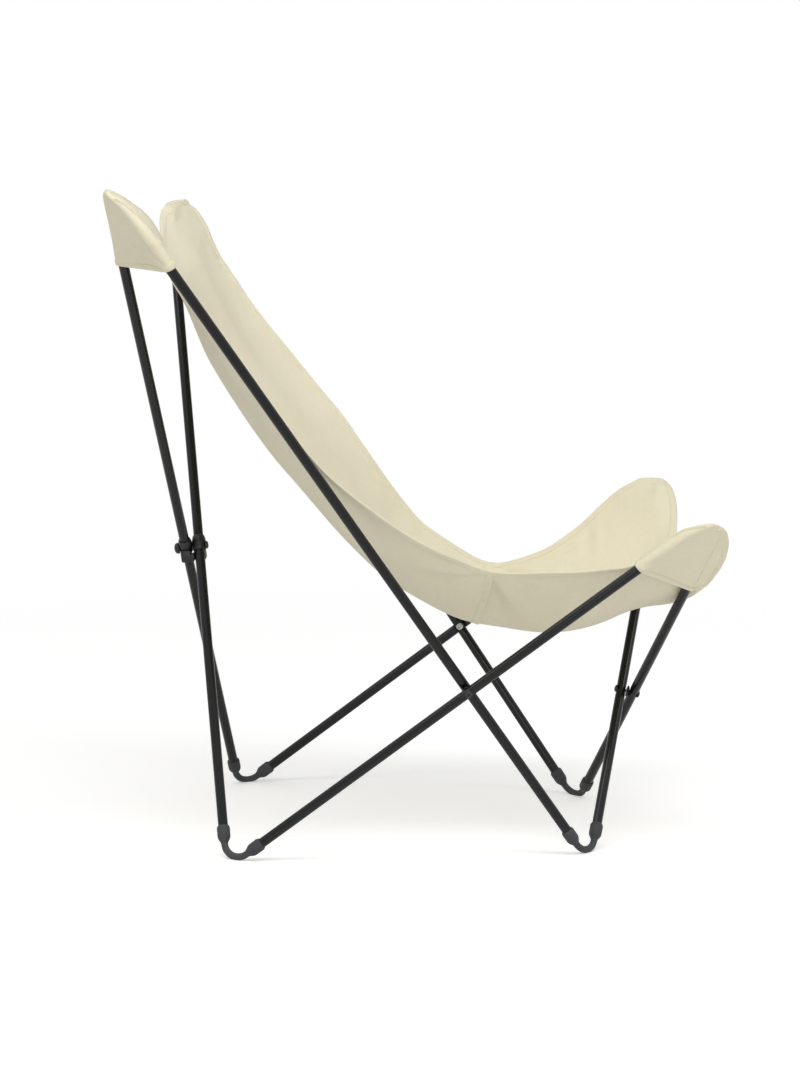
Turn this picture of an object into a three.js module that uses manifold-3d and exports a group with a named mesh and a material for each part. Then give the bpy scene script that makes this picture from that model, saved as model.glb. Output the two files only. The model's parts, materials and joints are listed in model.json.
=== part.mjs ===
// Butterfly sling chair: eight straight steel tubes that cross in pairs, four flexible feet,
// and a canvas sling that hangs from the four top corners of the frame.
// Millimetres, +Z up. The chair faces -Y, so the sitter's right hand is on the -X side.

import * as THREE from 'three';
import { mergeVertices } from 'three/addons/utils/BufferGeometryUtils.js';
import Module from 'manifold-3d';

// Steel tubes
const TUBE_DIAMETER = 16;
const TUBE_WALL = 1.2;
const LONG_SIDE_LENGTH = 1218;
const SHORT_SIDE_LENGTH = 866;
const BACK_CROSS_LENGTH = 1120;
const FRONT_CROSS_LENGTH = 682;

// Where the lines of two tubes would meet below a foot
const REAR_FOOT_HALF_SPREAD = 255;
const FRONT_FOOT_HALF_SPREAD = 191;
const FOOT_BASE_LENGTH = 581.5;

// Where the tubes cross
const SIDE_CROSSING_HALF_SPREAD = 253;
const SIDE_CROSSING_REACH = 378;
const SIDE_CROSSING_HEIGHT = 279.3;
const BACK_CROSSING_OVERHANG = 69;
const BACK_CROSSING_HEIGHT = 459.8;
const FRONT_CROSSING_OVERHANG = 67.5;
const FRONT_CROSSING_HEIGHT = 225.3;
const SIDE_TUBE_SPACING = 18.5;
const BACK_TUBE_SPACING = 22;
const FRONT_TUBE_SPACING = 21;

// Flexible feet
const FOOT_BEND_RADIUS = 25;
const FOOT_ROD_DIAMETER = 11;
const FOOT_CUP_DIAMETER = 20.5;
const FOOT_CUP_LENGTH = 30;
const FOOT_CUP_TAPER = 9;
const FOOT_CUP_ROUNDING = 1.2;
const FOOT_FLAT_DEPTH = 1;

// Plugs in the open tops of the tubes
const CAP_DIAMETER = 17.6;
const CAP_HEAD = 4.5;
const CAP_STEM = 14;

// Rivets and spacers
const RIVET_DIAMETER = 5;
const RIVET_HEAD_DIAMETER = 11;
const RIVET_HEAD_HEIGHT = 2.6;
const SIDE_SPACER_DIAMETER = 14;
const FRONT_SPACER_DIAMETER = 15;
const FRONT_SPACER_CLEARANCE = 1.4;

// Moulded hinge at the back crossing
const HINGE_SLEEVE_DIAMETER = 21;
const HINGE_SLEEVE_ABOVE = 17;
const HINGE_SLEEVE_BELOW = 8;
const HINGE_PIN_DIAMETER = 6;
const HINGE_PIN_CLEARANCE = 0.7;
const HINGE_KNOB_DIAMETER = 18;
const HINGE_KNOB_HEIGHT = 8;
const HINGE_HEAD_DIAMETER = 13;
const HINGE_HEAD_HEIGHT = 4;
const STOP_HALF_WIDTH = 13;
const STOP_REACH_ACROSS = 9;
const STOP_HALF_DEPTH = 20;
const STOP_BOTTOM = 23;
const STOP_TOP = 10;
const STOP_ROOT_TOP = 4;
const STOP_TONGUE = 1.9;
const STOP_TONGUE_GAP = 1.3;

// Canvas sling
const CANVAS_THICKNESS = 2;
const HEM_REACH = 100;
const SLING_SAG = 200;
const CREASE_DEPTH = 7;
const POCKET_RADIUS = 11.6;
const POCKET_THICKNESS = 1.5;
const POCKET_HEADROOM = 7;
const BACK_POCKET_DEPTH = 60;
const FRONT_POCKET_DEPTH = 62;
const DRAPE_CLEARANCE = 2.3;
const DRAPE_SPREAD = 80;

// Clearances
const GAP = 0.3;
const HOLE_CLEARANCE = 0.4;
const SOCKET_CLEARANCE = 0.3;
const OVERRUN = 2;

// Counts
const ROUND_SIDES = 16;
const SMALL_SIDES = 12;
const ROD_SIDES = 5;
const ROD_STEPS = 8;
const SETTLE_ROUNDS = 6;

// Hem lines of the sling. Each row: side tube, share of the way from its crossing to its top,
// then the offset from the tube as shares of HEM_REACH: inward, backward, upward.
const RIGHT_HEM_SHARES = [
  ['long', 1.11, -0.02, 0.02, 0.02],
  ['long', 1.05, 0.02, -0.08, 0.08],
  ['long', 0.95, 0.06, -0.13, 0.10],
  ['long', 0.76, 0.06, -0.14, 0.11],
  ['long', 0.54, 0.03, -0.19, 0.14],
  ['long', 0.45, 0.04, -0.27, 0.20],
  ['long', 0.32, 0.14, -0.46, 0.35],
  ['long', 0.23, 0.33, -0.68, 0.53],
  ['short', 0.355, 0.59, 0.75, 0.98],
  ['short', 0.575, 0.50, 0.36, 0.47],
  ['short', 0.72, 0.31, 0.19, 0.25],
  ['short', 0.84, 0.14, 0.11, 0.13],
  ['short', 1.0, 0.06, 0.10, 0.12],
  ['short', 1.13, 0.03, 0.02, 0.02],
];
const LEFT_HEM_SHARES = [
  ['long', 1.04, 0.00, 0.03, 0.02],
  ['long', 0.985, 0.04, -0.11, 0.09],
  ['long', 0.90, 0.05, -0.15, 0.11],
  ['long', 0.76, 0.03, -0.25, 0.16],
  ['long', 0.53, 0.00, -0.31, 0.20],
  ['long', 0.41, 0.00, -0.31, 0.21],
  ['long', 0.28, 0.02, -0.32, 0.23],
  ['long', 0.19, 0.10, -0.39, 0.30],
  ['short', 0.28, 0.54, 0.40, 0.53],
  ['short', 0.46, 0.50, 0.19, 0.27],
  ['short', 0.65, 0.28, 0.15, 0.20],
  ['short', 0.80, 0.14, 0.13, 0.17],
  ['short', 0.98, 0.06, 0.11, 0.13],
  ['short', 1.10, 0.03, 0.02, 0.02],
];
// Middle line of the sling below the two hems, as shares of SLING_SAG: backward, downward
const MIDDLE_SHARES = [
  [-0.10, 0.45],
  [0.00, 0.42],
  [0.16, 0.28],
  [0.36, 0.22],
  [0.48, 0.15],
  [0.46, 0.16],
  [0.41, 0.23],
  [0.34, 0.30],
  [0.13, 0.43],
  [0.06, 0.54],
  [0.03, 0.63],
  [0.00, 0.67],
  [0.03, 0.73],
  [0.10, 0.74],
];
const SEAM_STATION = 8;
const ROUNDNESS = 2.3;
const EDGE_ROUNDNESS = 1.35;
const EDGE_STATIONS = 3;
const CREASES = 3;
const BACK_ROWS = 26;
const SEAT_ROWS = 18;
const CLOTH_COLUMNS = 22;
const POCKET_RINGS = 5;
const POCKET_SIDES = 8;
const POCKET_TIP_SHARES = [0.4, 0.7, 0.92];

const MERGE_DISTANCE = 1e-5;
const UP = new THREE.Vector3(0, 0, 1);
const ACROSS = new THREE.Vector3(1, 0, 0);
const ALONG = new THREE.Vector3(0, 1, 0);
const TUBE_RADIUS = TUBE_DIAMETER / 2;
const BORE_RADIUS = TUBE_RADIUS - TUBE_WALL;

const wasm = await Module();
wasm.setup();

const steel = { color: 0x14161a, roughness: 0.32, metalness: 0.35 };
const elastomer = { color: 0x2a2c30, roughness: 0.8, metalness: 0 };
const hardware = { color: 0x101114, roughness: 0.45, metalness: 0.2 };
const canvas = { color: 0xe0d8bc, roughness: 0.95, metalness: 0 };

// Small helpers

const mirrored = (p) => new THREE.Vector3(-p.x, p.y, p.z);
const along = (start, direction, distance) => start.clone().addScaledVector(direction, distance);
const between = (from, to) => to.clone().sub(from).normalize();
const crossOf = (a, b) => new THREE.Vector3().crossVectors(a, b).normalize();
const turnTo = (axis) => new THREE.Quaternion().setFromUnitVectors(ALONG, axis);

function meshOf(name, geometry, finish, position = new THREE.Vector3(), turn = new THREE.Quaternion()) {
  const mesh = new THREE.Mesh(geometry, new THREE.MeshStandardMaterial(finish));
  mesh.name = name;
  mesh.position.copy(position);
  mesh.quaternion.copy(turn);
  return mesh;
}

function solidOf(geometry) {
  const bare = geometry.clone();
  bare.deleteAttribute('normal');
  bare.deleteAttribute('uv');
  const merged = mergeVertices(bare, MERGE_DISTANCE);
  return new wasm.Manifold(new wasm.Mesh({
    numProp: 3,
    vertProperties: new Float32Array(merged.attributes.position.array),
    triVerts: new Uint32Array(merged.index.array),
  }));
}

function geometryOf(solid) {
  const mesh = solid.getMesh();
  const geometry = new THREE.BufferGeometry();
  geometry.setAttribute('position', new THREE.BufferAttribute(mesh.vertProperties.slice(), 3));
  geometry.setIndex(new THREE.BufferAttribute(mesh.triVerts.slice(), 1));
  geometry.computeVertexNormals();
  return geometry;
}

// A turned body about the Y axis; the profile runs up the outside, in pairs of radius and height
function turned(profile, sides = ROUND_SIDES) {
  return new THREE.LatheGeometry(profile.map(([r, y]) => new THREE.Vector2(r, y)), sides);
}

function rodBetween(from, to, radius, sides = SMALL_SIDES) {
  const length = from.distanceTo(to);
  const rod = turned([[0, 0], [radius, 0], [radius, length], [0, length]], sides);
  rod.applyQuaternion(turnTo(between(from, to)));
  rod.translate(from.x, from.y, from.z);
  return rod;
}

function boxBetween(low, high) {
  const size = high.clone().sub(low);
  const box = new THREE.BoxGeometry(size.x, size.y, size.z);
  const middle = low.clone().add(high).multiplyScalar(0.5);
  box.translate(middle.x, middle.y, middle.z);
  return box;
}

// The frame as lines: each tube starts at a foot point and passes its crossing at half the spacing

function footBend(foot, directionA, directionB) {
  const half = directionA.angleTo(directionB) / 2;
  const centre = along(foot, directionA.clone().add(directionB).normalize(), FOOT_BEND_RADIUS / Math.sin(half));
  const normal = crossOf(directionA, directionB);
  const down = UP.clone().negate().projectOnPlane(normal).normalize();
  const lowest = along(centre, down, FOOT_BEND_RADIUS).z - FOOT_ROD_DIAMETER / 2;
  return { centre, normal, lowest, tangent: FOOT_BEND_RADIUS / Math.tan(half) };
}

function frameLines(rearFootHeight, frontFootHeight) {
  const rearFoot = new THREE.Vector3(-REAR_FOOT_HALF_SPREAD, 0, rearFootHeight);
  const frontFoot = new THREE.Vector3(-FRONT_FOOT_HALF_SPREAD, -FOOT_BASE_LENGTH, frontFootHeight);
  const side = new THREE.Vector3(-SIDE_CROSSING_HALF_SPREAD, -SIDE_CROSSING_REACH, SIDE_CROSSING_HEIGHT);
  const back = new THREE.Vector3(0, BACK_CROSSING_OVERHANG, BACK_CROSSING_HEIGHT);
  const front = new THREE.Vector3(0, -FOOT_BASE_LENGTH - FRONT_CROSSING_OVERHANG, FRONT_CROSSING_HEIGHT);
  const outward = crossOf(between(frontFoot, side), between(rearFoot, side));
  if (outward.x > 0) outward.negate();
  const rearward = crossOf(between(rearFoot, back), between(mirrored(rearFoot), back));
  if (rearward.y < 0) rearward.negate();
  const forward = crossOf(between(frontFoot, front), between(mirrored(frontFoot), front));
  if (forward.y > 0) forward.negate();
  const line = (foot, crossing, offset, spacing, length) => {
    const point = along(crossing, offset, spacing / 2);
    return { foot, direction: between(foot, point), crossingAt: foot.distanceTo(point), length };
  };
  const inward = outward.clone().negate();
  const lines = {
    longRight: line(frontFoot, side, inward, SIDE_TUBE_SPACING, LONG_SIDE_LENGTH),
    shortRight: line(rearFoot, side, outward, SIDE_TUBE_SPACING, SHORT_SIDE_LENGTH),
    backInner: line(rearFoot, back, rearward.clone().negate(), BACK_TUBE_SPACING, BACK_CROSS_LENGTH),
    backOuter: line(mirrored(rearFoot), back, rearward, BACK_TUBE_SPACING, BACK_CROSS_LENGTH),
    frontInner: line(frontFoot, front, forward.clone().negate(), FRONT_TUBE_SPACING, FRONT_CROSS_LENGTH),
    frontOuter: line(mirrored(frontFoot), front, forward, FRONT_TUBE_SPACING, FRONT_CROSS_LENGTH),
  };
  for (const kind of ['long', 'short']) {
    const right = lines[`${kind}Right`];
    lines[`${kind}Left`] = { ...right, foot: mirrored(right.foot), direction: mirrored(right.direction) };
  }
  return { lines, side, back, front, outward, rearward, forward };
}

// The foot points are lowered until both kinds of foot touch the floor, with a little to cut flat
function settledFrame() {
  let rearHeight = 0;
  let frontHeight = 0;
  for (let round = 0; round < SETTLE_ROUNDS; round += 1) {
    const { lines } = frameLines(rearHeight, frontHeight);
    const rear = footBend(lines.shortRight.foot, lines.backInner.direction, lines.shortRight.direction);
    const front = footBend(lines.longRight.foot, lines.longRight.direction, lines.frontInner.direction);
    rearHeight -= rear.lowest + FOOT_FLAT_DEPTH;
    frontHeight -= front.lowest + FOOT_FLAT_DEPTH;
  }
  return frameLines(rearHeight, frontHeight);
}

const frame = settledFrame();
const { lines } = frame;

// Which two tubes each foot joins, and where each tube starts inside its cup
const FEET = {
  rear_right_foot: ['backInner', 'shortRight'],
  rear_left_foot: ['backOuter', 'shortLeft'],
  front_right_foot: ['longRight', 'frontInner'],
  front_left_foot: ['longLeft', 'frontOuter'],
};
const bends = {};
for (const [foot, [first, second]] of Object.entries(FEET)) {
  const bend = footBend(lines[first].foot, lines[first].direction, lines[second].direction);
  bends[foot] = bend;
  for (const key of [first, second]) {
    lines[key].start = bend.tangent + FOOT_CUP_TAPER + GAP;
  }
}

// Pins: every crossing has an axis square to its two tubes
const PINS = {
  sideRight: { point: frame.side, axis: crossOf(lines.longRight.direction, lines.shortRight.direction) },
  sideLeft: { point: mirrored(frame.side), axis: crossOf(lines.longLeft.direction, lines.shortLeft.direction) },
  back: { point: frame.back, axis: frame.rearward },
  front: { point: frame.front, axis: crossOf(lines.frontInner.direction, lines.frontOuter.direction) },
};
if (PINS.sideRight.axis.x > 0) PINS.sideRight.axis.negate();
if (PINS.sideLeft.axis.x < 0) PINS.sideLeft.axis.negate();
if (PINS.front.axis.y > 0) PINS.front.axis.negate();

// Tubes and their end caps

function tubeMesh(name, key, pin, holeRadius) {
  const { foot, direction, start, length } = lines[key];
  const from = along(foot, direction, start);
  const turn = turnTo(direction);
  const span = length - start;
  const ring = [[BORE_RADIUS, 0], [TUBE_RADIUS, 0], [TUBE_RADIUS, span], [BORE_RADIUS, span], [BORE_RADIUS, 0]];
  const back = turn.clone().invert();
  const axis = pin.axis.clone().applyQuaternion(back);
  const point = pin.point.clone().sub(from).applyQuaternion(back);
  const reach = TUBE_DIAMETER + BACK_TUBE_SPACING;
  const drill = rodBetween(along(point, axis, -reach), along(point, axis, reach), holeRadius);
  const body = solidOf(turned(ring)).subtract(solidOf(drill));
  return meshOf(name, geometryOf(body), steel, from, turn);
}

function capMesh(name, key) {
  const { foot, direction, length } = lines[key];
  const stem = BORE_RADIUS - GAP;
  const radius = CAP_DIAMETER / 2;
  const profile = [[0, -CAP_STEM], [stem, -CAP_STEM], [stem, GAP], [radius, GAP], [radius, CAP_HEAD / 2]];
  for (const turnShare of [1 / 3, 2 / 3]) {
    const angle = turnShare * Math.PI / 2;
    profile.push([radius * Math.cos(angle), (CAP_HEAD / 2) * (1 + Math.sin(angle))]);
  }
  profile.push([0, CAP_HEAD]);
  return meshOf(name, turned(profile, SMALL_SIDES), hardware, along(foot, direction, length), turnTo(direction));
}

// Feet: a bent rod with a cup at each end, cut flat where it stands

class BendCurve extends THREE.Curve {
  constructor(centre, from, to) {
    super();
    this.centre = centre;
    this.arm = from.clone().sub(centre);
    this.angle = this.arm.angleTo(to.clone().sub(centre));
    this.axis = crossOf(this.arm, to.clone().sub(centre));
  }

  getPoint(t, target = new THREE.Vector3()) {
    return target.copy(this.arm).applyAxisAngle(this.axis, this.angle * t).add(this.centre);
  }
}

function cupSolid(start, direction) {
  const rod = FOOT_ROD_DIAMETER / 2;
  const cup = FOOT_CUP_DIAMETER / 2;
  const profile = [
    [0, -FOOT_CUP_ROUNDING],
    [rod, -FOOT_CUP_ROUNDING],
    [rod, 0],
    [(rod + cup) / 2, FOOT_CUP_TAPER / 3],
    [cup, FOOT_CUP_TAPER],
    [cup, FOOT_CUP_LENGTH - FOOT_CUP_ROUNDING],
    [cup - FOOT_CUP_ROUNDING, FOOT_CUP_LENGTH],
    [0, FOOT_CUP_LENGTH],
  ];
  const body = turned(profile);
  body.applyQuaternion(turnTo(direction));
  body.translate(start.x, start.y, start.z);
  return solidOf(body);
}

function footMesh(name) {
  const [first, second] = FEET[name];
  const { centre, tangent } = bends[name];
  const ends = [first, second].map((key) => {
    const { foot, direction } = lines[key];
    return { start: along(foot, direction, tangent), direction };
  });
  const rodShape = new THREE.Shape().absarc(0, 0, FOOT_ROD_DIAMETER / 2, 0, Math.PI * 2, false);
  const path = new BendCurve(centre, ends[0].start, ends[1].start);
  const rod = new THREE.ExtrudeGeometry(rodShape, {
    steps: ROD_STEPS, curveSegments: ROD_SIDES, bevelEnabled: false, extrudePath: path,
  });
  let body = solidOf(rod);
  for (const { start, direction } of ends) {
    const bottom = along(start, direction, FOOT_CUP_TAPER);
    const top = along(start, direction, FOOT_CUP_LENGTH + OVERRUN);
    const socket = rodBetween(bottom, top, TUBE_RADIUS + SOCKET_CLEARANCE, ROUND_SIDES);
    body = body.add(cupSolid(start, direction)).subtract(solidOf(socket));
  }
  const reach = FOOT_BEND_RADIUS + FOOT_CUP_LENGTH;
  const low = centre.clone().sub(new THREE.Vector3(reach, reach, 0)).setZ(-reach);
  const high = centre.clone().add(new THREE.Vector3(reach, reach, 0)).setZ(0);
  body = body.subtract(solidOf(boxBetween(low, high)));
  const geometry = geometryOf(body);
  geometry.translate(-centre.x, -centre.y, -centre.z);
  return meshOf(name, geometry, elastomer, centre);
}

// Rivets and spacers

function domeProfile(radius, height, base, sign) {
  const steps = [0, 1 / 3, 2 / 3];
  const points = steps.map((share) => {
    const angle = share * Math.PI / 2;
    return [radius * Math.cos(angle), base + sign * height * Math.sin(angle)];
  });
  points.push([0, base + sign * height]);
  return points;
}

// A rivet from one head to the other; either end can stop as a plain shank
function rivetGeometry(bottom, top, hasBottomHead, hasTopHead) {
  const shank = RIVET_DIAMETER / 2;
  const head = RIVET_HEAD_DIAMETER / 2;
  const lower = hasBottomHead ? domeProfile(head, RIVET_HEAD_HEIGHT, bottom, -1).reverse() : [[0, bottom]];
  const upper = hasTopHead ? domeProfile(head, RIVET_HEAD_HEIGHT, top, 1) : [[0, top]];
  return turned([...lower, [shank, bottom], [shank, top], ...upper], SMALL_SIDES);
}

function spacerGeometry(diameter, bottom, top) {
  const inner = RIVET_DIAMETER / 2 + GAP;
  const outer = diameter / 2;
  return turned([[inner, bottom], [outer, bottom], [outer, top], [inner, top], [inner, bottom]]);
}

function sideCrossing(side, pin) {
  const turn = turnTo(pin.axis);
  const reach = SIDE_TUBE_SPACING / 2 + TUBE_RADIUS + GAP;
  const half = SIDE_TUBE_SPACING / 2 - TUBE_RADIUS - GAP;
  return [
    meshOf(`${side}_side_rivet`, rivetGeometry(-reach, reach, true, true), hardware, pin.point, turn),
    meshOf(`${side}_side_spacer`, spacerGeometry(SIDE_SPACER_DIAMETER, -half, half), hardware, pin.point, turn),
  ];
}

// The front rivet is made in two: the ends meet inside the spacer, where the frame's ring is opened
function frontCrossing(pin) {
  const turn = turnTo(pin.axis);
  const reach = FRONT_TUBE_SPACING / 2 + TUBE_RADIUS + GAP;
  const half = FRONT_TUBE_SPACING / 2 - TUBE_RADIUS;
  const spacerTop = half - GAP;
  const spacerBottom = -half + FRONT_SPACER_CLEARANCE;
  return [
    meshOf('front_rivet', rivetGeometry(spacerBottom, reach, false, true), hardware, pin.point, turn),
    meshOf('front_rivet_tail', rivetGeometry(-reach, -half, true, false), hardware, pin.point, turn),
    meshOf('front_spacer', spacerGeometry(FRONT_SPACER_DIAMETER, spacerBottom, spacerTop), hardware, pin.point, turn),
  ];
}

// Moulded hinge at the back: one half on each tube, with stop tongues that meet when the chair is open

function hingeHalf(name, key, rearward) {
  const { direction } = lines[key];
  const { point, axis } = PINS.back;
  const upright = crossOf(ACROSS, axis);
  const basis = new THREE.Matrix4().makeBasis(ACROSS, axis, upright);
  const turn = new THREE.Quaternion().setFromRotationMatrix(basis);
  const back = turn.clone().invert();
  const localDirection = direction.clone().applyQuaternion(back);
  const middle = new THREE.Vector3(0, rearward * BACK_TUBE_SPACING / 2, 0);
  const sleeve = rodBetween(
    along(middle, localDirection, -HINGE_SLEEVE_BELOW),
    along(middle, localDirection, HINGE_SLEEVE_ABOVE),
    HINGE_SLEEVE_DIAMETER / 2,
    ROUND_SIDES,
  );
  const toward = -rearward;
  const ordered = (a, b) => [new THREE.Vector3(Math.min(a.x, b.x), Math.min(a.y, b.y), Math.min(a.z, b.z)),
    new THREE.Vector3(Math.max(a.x, b.x), Math.max(a.y, b.y), Math.max(a.z, b.z))];
  const rootNear = rearward * (STOP_TONGUE + STOP_TONGUE_GAP);
  const root = boxBetween(...ordered(
    new THREE.Vector3(-rearward * STOP_HALF_WIDTH, rootNear, -STOP_BOTTOM),
    new THREE.Vector3(rearward * STOP_REACH_ACROSS, rearward * STOP_HALF_DEPTH, -STOP_ROOT_TOP),
  ));
  const tongue = boxBetween(...ordered(
    new THREE.Vector3(-rearward * STOP_HALF_WIDTH, toward * STOP_TONGUE, -STOP_BOTTOM),
    new THREE.Vector3(-rearward * GAP / 2, rootNear + rearward * OVERRUN, -STOP_TOP),
  ));
  const reach = STOP_BOTTOM + HINGE_SLEEVE_ABOVE;
  const bore = rodBetween(
    along(middle, localDirection, -reach),
    along(middle, localDirection, reach),
    TUBE_RADIUS + SOCKET_CLEARANCE,
    ROUND_SIDES,
  );
  const pinHole = rodBetween(
    new THREE.Vector3(0, -STOP_HALF_DEPTH * 2, 0),
    new THREE.Vector3(0, STOP_HALF_DEPTH * 2, 0),
    HINGE_PIN_DIAMETER / 2 + HINGE_PIN_CLEARANCE,
  );
  const body = solidOf(sleeve).add(solidOf(root)).add(solidOf(tongue))
    .subtract(solidOf(bore)).subtract(solidOf(pinHole));
  return meshOf(name, geometryOf(body), elastomer, point, turn);
}

function hingePin() {
  const { point, axis } = PINS.back;
  const seat = BACK_TUBE_SPACING / 2 + HINGE_SLEEVE_DIAMETER / 2 + GAP;
  const radius = HINGE_PIN_DIAMETER / 2;
  const head = domeProfile(HINGE_HEAD_DIAMETER / 2, HINGE_HEAD_HEIGHT, -seat, -1).reverse();
  const profile = [...head, [radius, -seat], [radius, seat + HINGE_KNOB_HEIGHT / 2], [0, seat + HINGE_KNOB_HEIGHT / 2]];
  return meshOf('back_hinge_pin', turned(profile, SMALL_SIDES), hardware, point, turnTo(axis));
}

function hingeKnob() {
  const { point, axis } = PINS.back;
  const seat = BACK_TUBE_SPACING / 2 + HINGE_SLEEVE_DIAMETER / 2 + GAP;
  const bore = HINGE_PIN_DIAMETER / 2 + GAP;
  const radius = HINGE_KNOB_DIAMETER / 2;
  const dome = [0, 1 / 3, 2 / 3].map((share) => {
    const angle = share * Math.PI / 2;
    return [radius * Math.cos(angle), seat + HINGE_KNOB_HEIGHT * (1 / 3 + (2 / 3) * Math.sin(angle))];
  });
  const roof = seat + HINGE_KNOB_HEIGHT / 2 + GAP;
  const profile = [[bore, seat], [radius, seat], ...dome, [0, seat + HINGE_KNOB_HEIGHT], [0, roof], [bore, roof], [bore, seat]];
  return meshOf('back_hinge_knob', turned(profile), hardware, point, turnTo(axis));
}

// Canvas: a closed skin of even thickness over a surface point(across, down)

function skinGeometry(pointAt, columns, rows, thickness) {
  const grid = [];
  const delta = 1e-3;
  for (let row = 0; row <= rows; row += 1) {
    for (let column = 0; column <= columns; column += 1) {
      const across = column / columns;
      const down = row / rows;
      const spanA = pointAt(Math.min(1, across + delta), down).sub(pointAt(Math.max(0, across - delta), down));
      const spanB = pointAt(across, Math.min(1, down + delta)).sub(pointAt(across, Math.max(0, down - delta)));
      grid.push({ point: pointAt(across, down), normal: crossOf(spanA, spanB) });
    }
  }
  const layer = (offset) => grid.flatMap(({ point, normal }) => along(point, normal, offset).toArray());
  const positions = [...layer(thickness / 2), ...layer(-thickness / 2)];
  const faces = [];
  const width = columns + 1;
  const under = width * (rows + 1);
  const quad = (a, b, c, d) => faces.push(a, b, c, a, c, d);
  for (let row = 0; row < rows; row += 1) {
    for (let column = 0; column < columns; column += 1) {
      const corner = row * width + column;
      quad(corner, corner + 1, corner + width + 1, corner + width);
      quad(under + corner, under + corner + width, under + corner + width + 1, under + corner + 1);
    }
  }
  for (let column = 0; column < columns; column += 1) {
    const last = rows * width + column;
    quad(column, under + column, under + column + 1, column + 1);
    quad(last + 1, under + last + 1, under + last, last);
  }
  for (let row = 0; row < rows; row += 1) {
    const left = row * width;
    const right = left + columns;
    quad(left + width, under + left + width, under + left, left);
    quad(right, under + right, under + right + width, right + width);
  }
  const geometry = new THREE.BufferGeometry();
  geometry.setAttribute('position', new THREE.Float32BufferAttribute(positions, 3));
  geometry.setIndex(faces);
  geometry.computeVertexNormals();
  return geometry;
}

// Hem and middle curves of the sling

function hemCurve(side, rows) {
  const inward = side === 'Right' ? 1 : -1;
  const points = rows.map(([kind, share, inShare, backShare, upShare]) => {
    const { foot, direction, crossingAt, length } = lines[`${kind}${side}`];
    const base = along(foot, direction, crossingAt + share * (length - crossingAt));
    const offset = new THREE.Vector3(inward * inShare, backShare, upShare).multiplyScalar(HEM_REACH);
    return base.add(offset);
  });
  return new THREE.CatmullRomCurve3(points, false, 'centripetal');
}

const rightHem = hemCurve('Right', RIGHT_HEM_SHARES);
const leftHem = hemCurve('Left', LEFT_HEM_SHARES);
const middleLine = new THREE.CatmullRomCurve3(MIDDLE_SHARES.map(([backShare, downShare], station) => {
  const middle = rightHem.points[station].clone().add(leftHem.points[station]).multiplyScalar(0.5);
  return new THREE.Vector3(0, middle.y + backShare * SLING_SAG, middle.z - downShare * SLING_SAG);
}), false, 'centripetal');

// The four corners of the sling, where it lies over the tops of two tubes
const CORNERS = {
  back_pocket_right: ['longRight', 'backOuter', BACK_POCKET_DEPTH, rightHem, 0],
  back_pocket_left: ['longLeft', 'backInner', BACK_POCKET_DEPTH, leftHem, 0],
  front_pocket_right: ['shortRight', 'frontOuter', FRONT_POCKET_DEPTH, rightHem, 1],
  front_pocket_left: ['shortLeft', 'frontInner', FRONT_POCKET_DEPTH, leftHem, 1],
};
const corners = Object.entries(CORNERS).map(([name, [sideKey, crossKey, depth, hem, hemEnd]]) => {
  const tops = [sideKey, crossKey].map((key) => {
    const { foot, direction, length } = lines[key];
    return { end: along(foot, direction, length + CAP_HEAD + POCKET_HEADROOM), direction };
  });
  const normal = crossOf(between(tops[0].end, tops[1].end), tops[0].direction.clone().add(tops[1].direction));
  if (normal.z < 0) normal.negate();
  const hemTip = hem.getPoint(hemEnd);
  const height = hemTip.clone().sub(tops[0].end).dot(normal);
  return { name, tops, normal, depth, tip: along(hemTip, normal, -height) };
});

function distanceToSegment(point, from, to) {
  return new THREE.Line3(from, to).closestPointToPoint(point, true, new THREE.Vector3()).distanceTo(point);
}

// Cloth near a corner is lifted until it lies over the pocket and its two tubes
function drapedOver(point, { tops, normal, depth, tip }) {
  const height = point.clone().sub(tops[0].end).dot(normal);
  const flat = along(point, normal, -height);
  const distances = tops.map(({ end, direction }) => distanceToSegment(flat, end, along(end, direction, -2 * depth)));
  distances.push(...tops.map(({ end }) => distanceToSegment(flat, end, tip)));
  for (const share of [0, 0.5, 1]) {
    const [first, second] = tops.map(({ end, direction }) => along(end, direction, -share * depth));
    distances.push(distanceToSegment(flat, first, second));
  }
  const outside = Math.max(0, Math.min(...distances) - POCKET_RADIUS) / DRAPE_SPREAD;
  const wanted = (POCKET_RADIUS + CANVAS_THICKNESS / 2 + DRAPE_CLEARANCE) * (1 - outside ** 2);
  return outside < 1 && height < wanted ? along(point, normal, wanted - height) : point;
}

// A point of the sling: across runs from 0 at the right hem to 1 at the left, station counts the rows
function slingPoint(across, station) {
  const last = MIDDLE_SHARES.length - 1;
  const share = station / last;
  const reach = 2 * across - 1;
  const hem = (reach < 0 ? rightHem : leftHem).getPoint(share);
  const middle = middleLine.getPoint(share);
  const edge = Math.max(0, 1 - Math.min(station, last - station) / EDGE_STATIONS);
  const lift = Math.abs(reach) ** THREE.MathUtils.lerp(ROUNDNESS, EDGE_ROUNDNESS, edge);
  const point = new THREE.Vector3(
    hem.x * Math.abs(reach),
    THREE.MathUtils.lerp(middle.y, hem.y, lift),
    THREE.MathUtils.lerp(middle.z, hem.z, lift),
  );
  const fromSeam = Math.abs(station - SEAM_STATION) / EDGE_STATIONS;
  const fan = Math.exp(-fromSeam * fromSeam) * Math.sin(Math.PI * Math.abs(reach)) ** 2;
  point.z += CREASE_DEPTH * fan * Math.cos(fromSeam * Math.PI * CREASES);
  return corners.reduce(drapedOver, point);
}

function slingPanel(name, firstStation, lastStation, rows) {
  const pointAt = (across, down) => slingPoint(across, THREE.MathUtils.lerp(firstStation, lastStation, down));
  return meshOf(name, skinGeometry(pointAt, CLOTH_COLUMNS, rows, CANVAS_THICKNESS), canvas);
}

// Pockets: flat bags round the tops of two tubes, open at the mouth and closed at the tip

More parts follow.
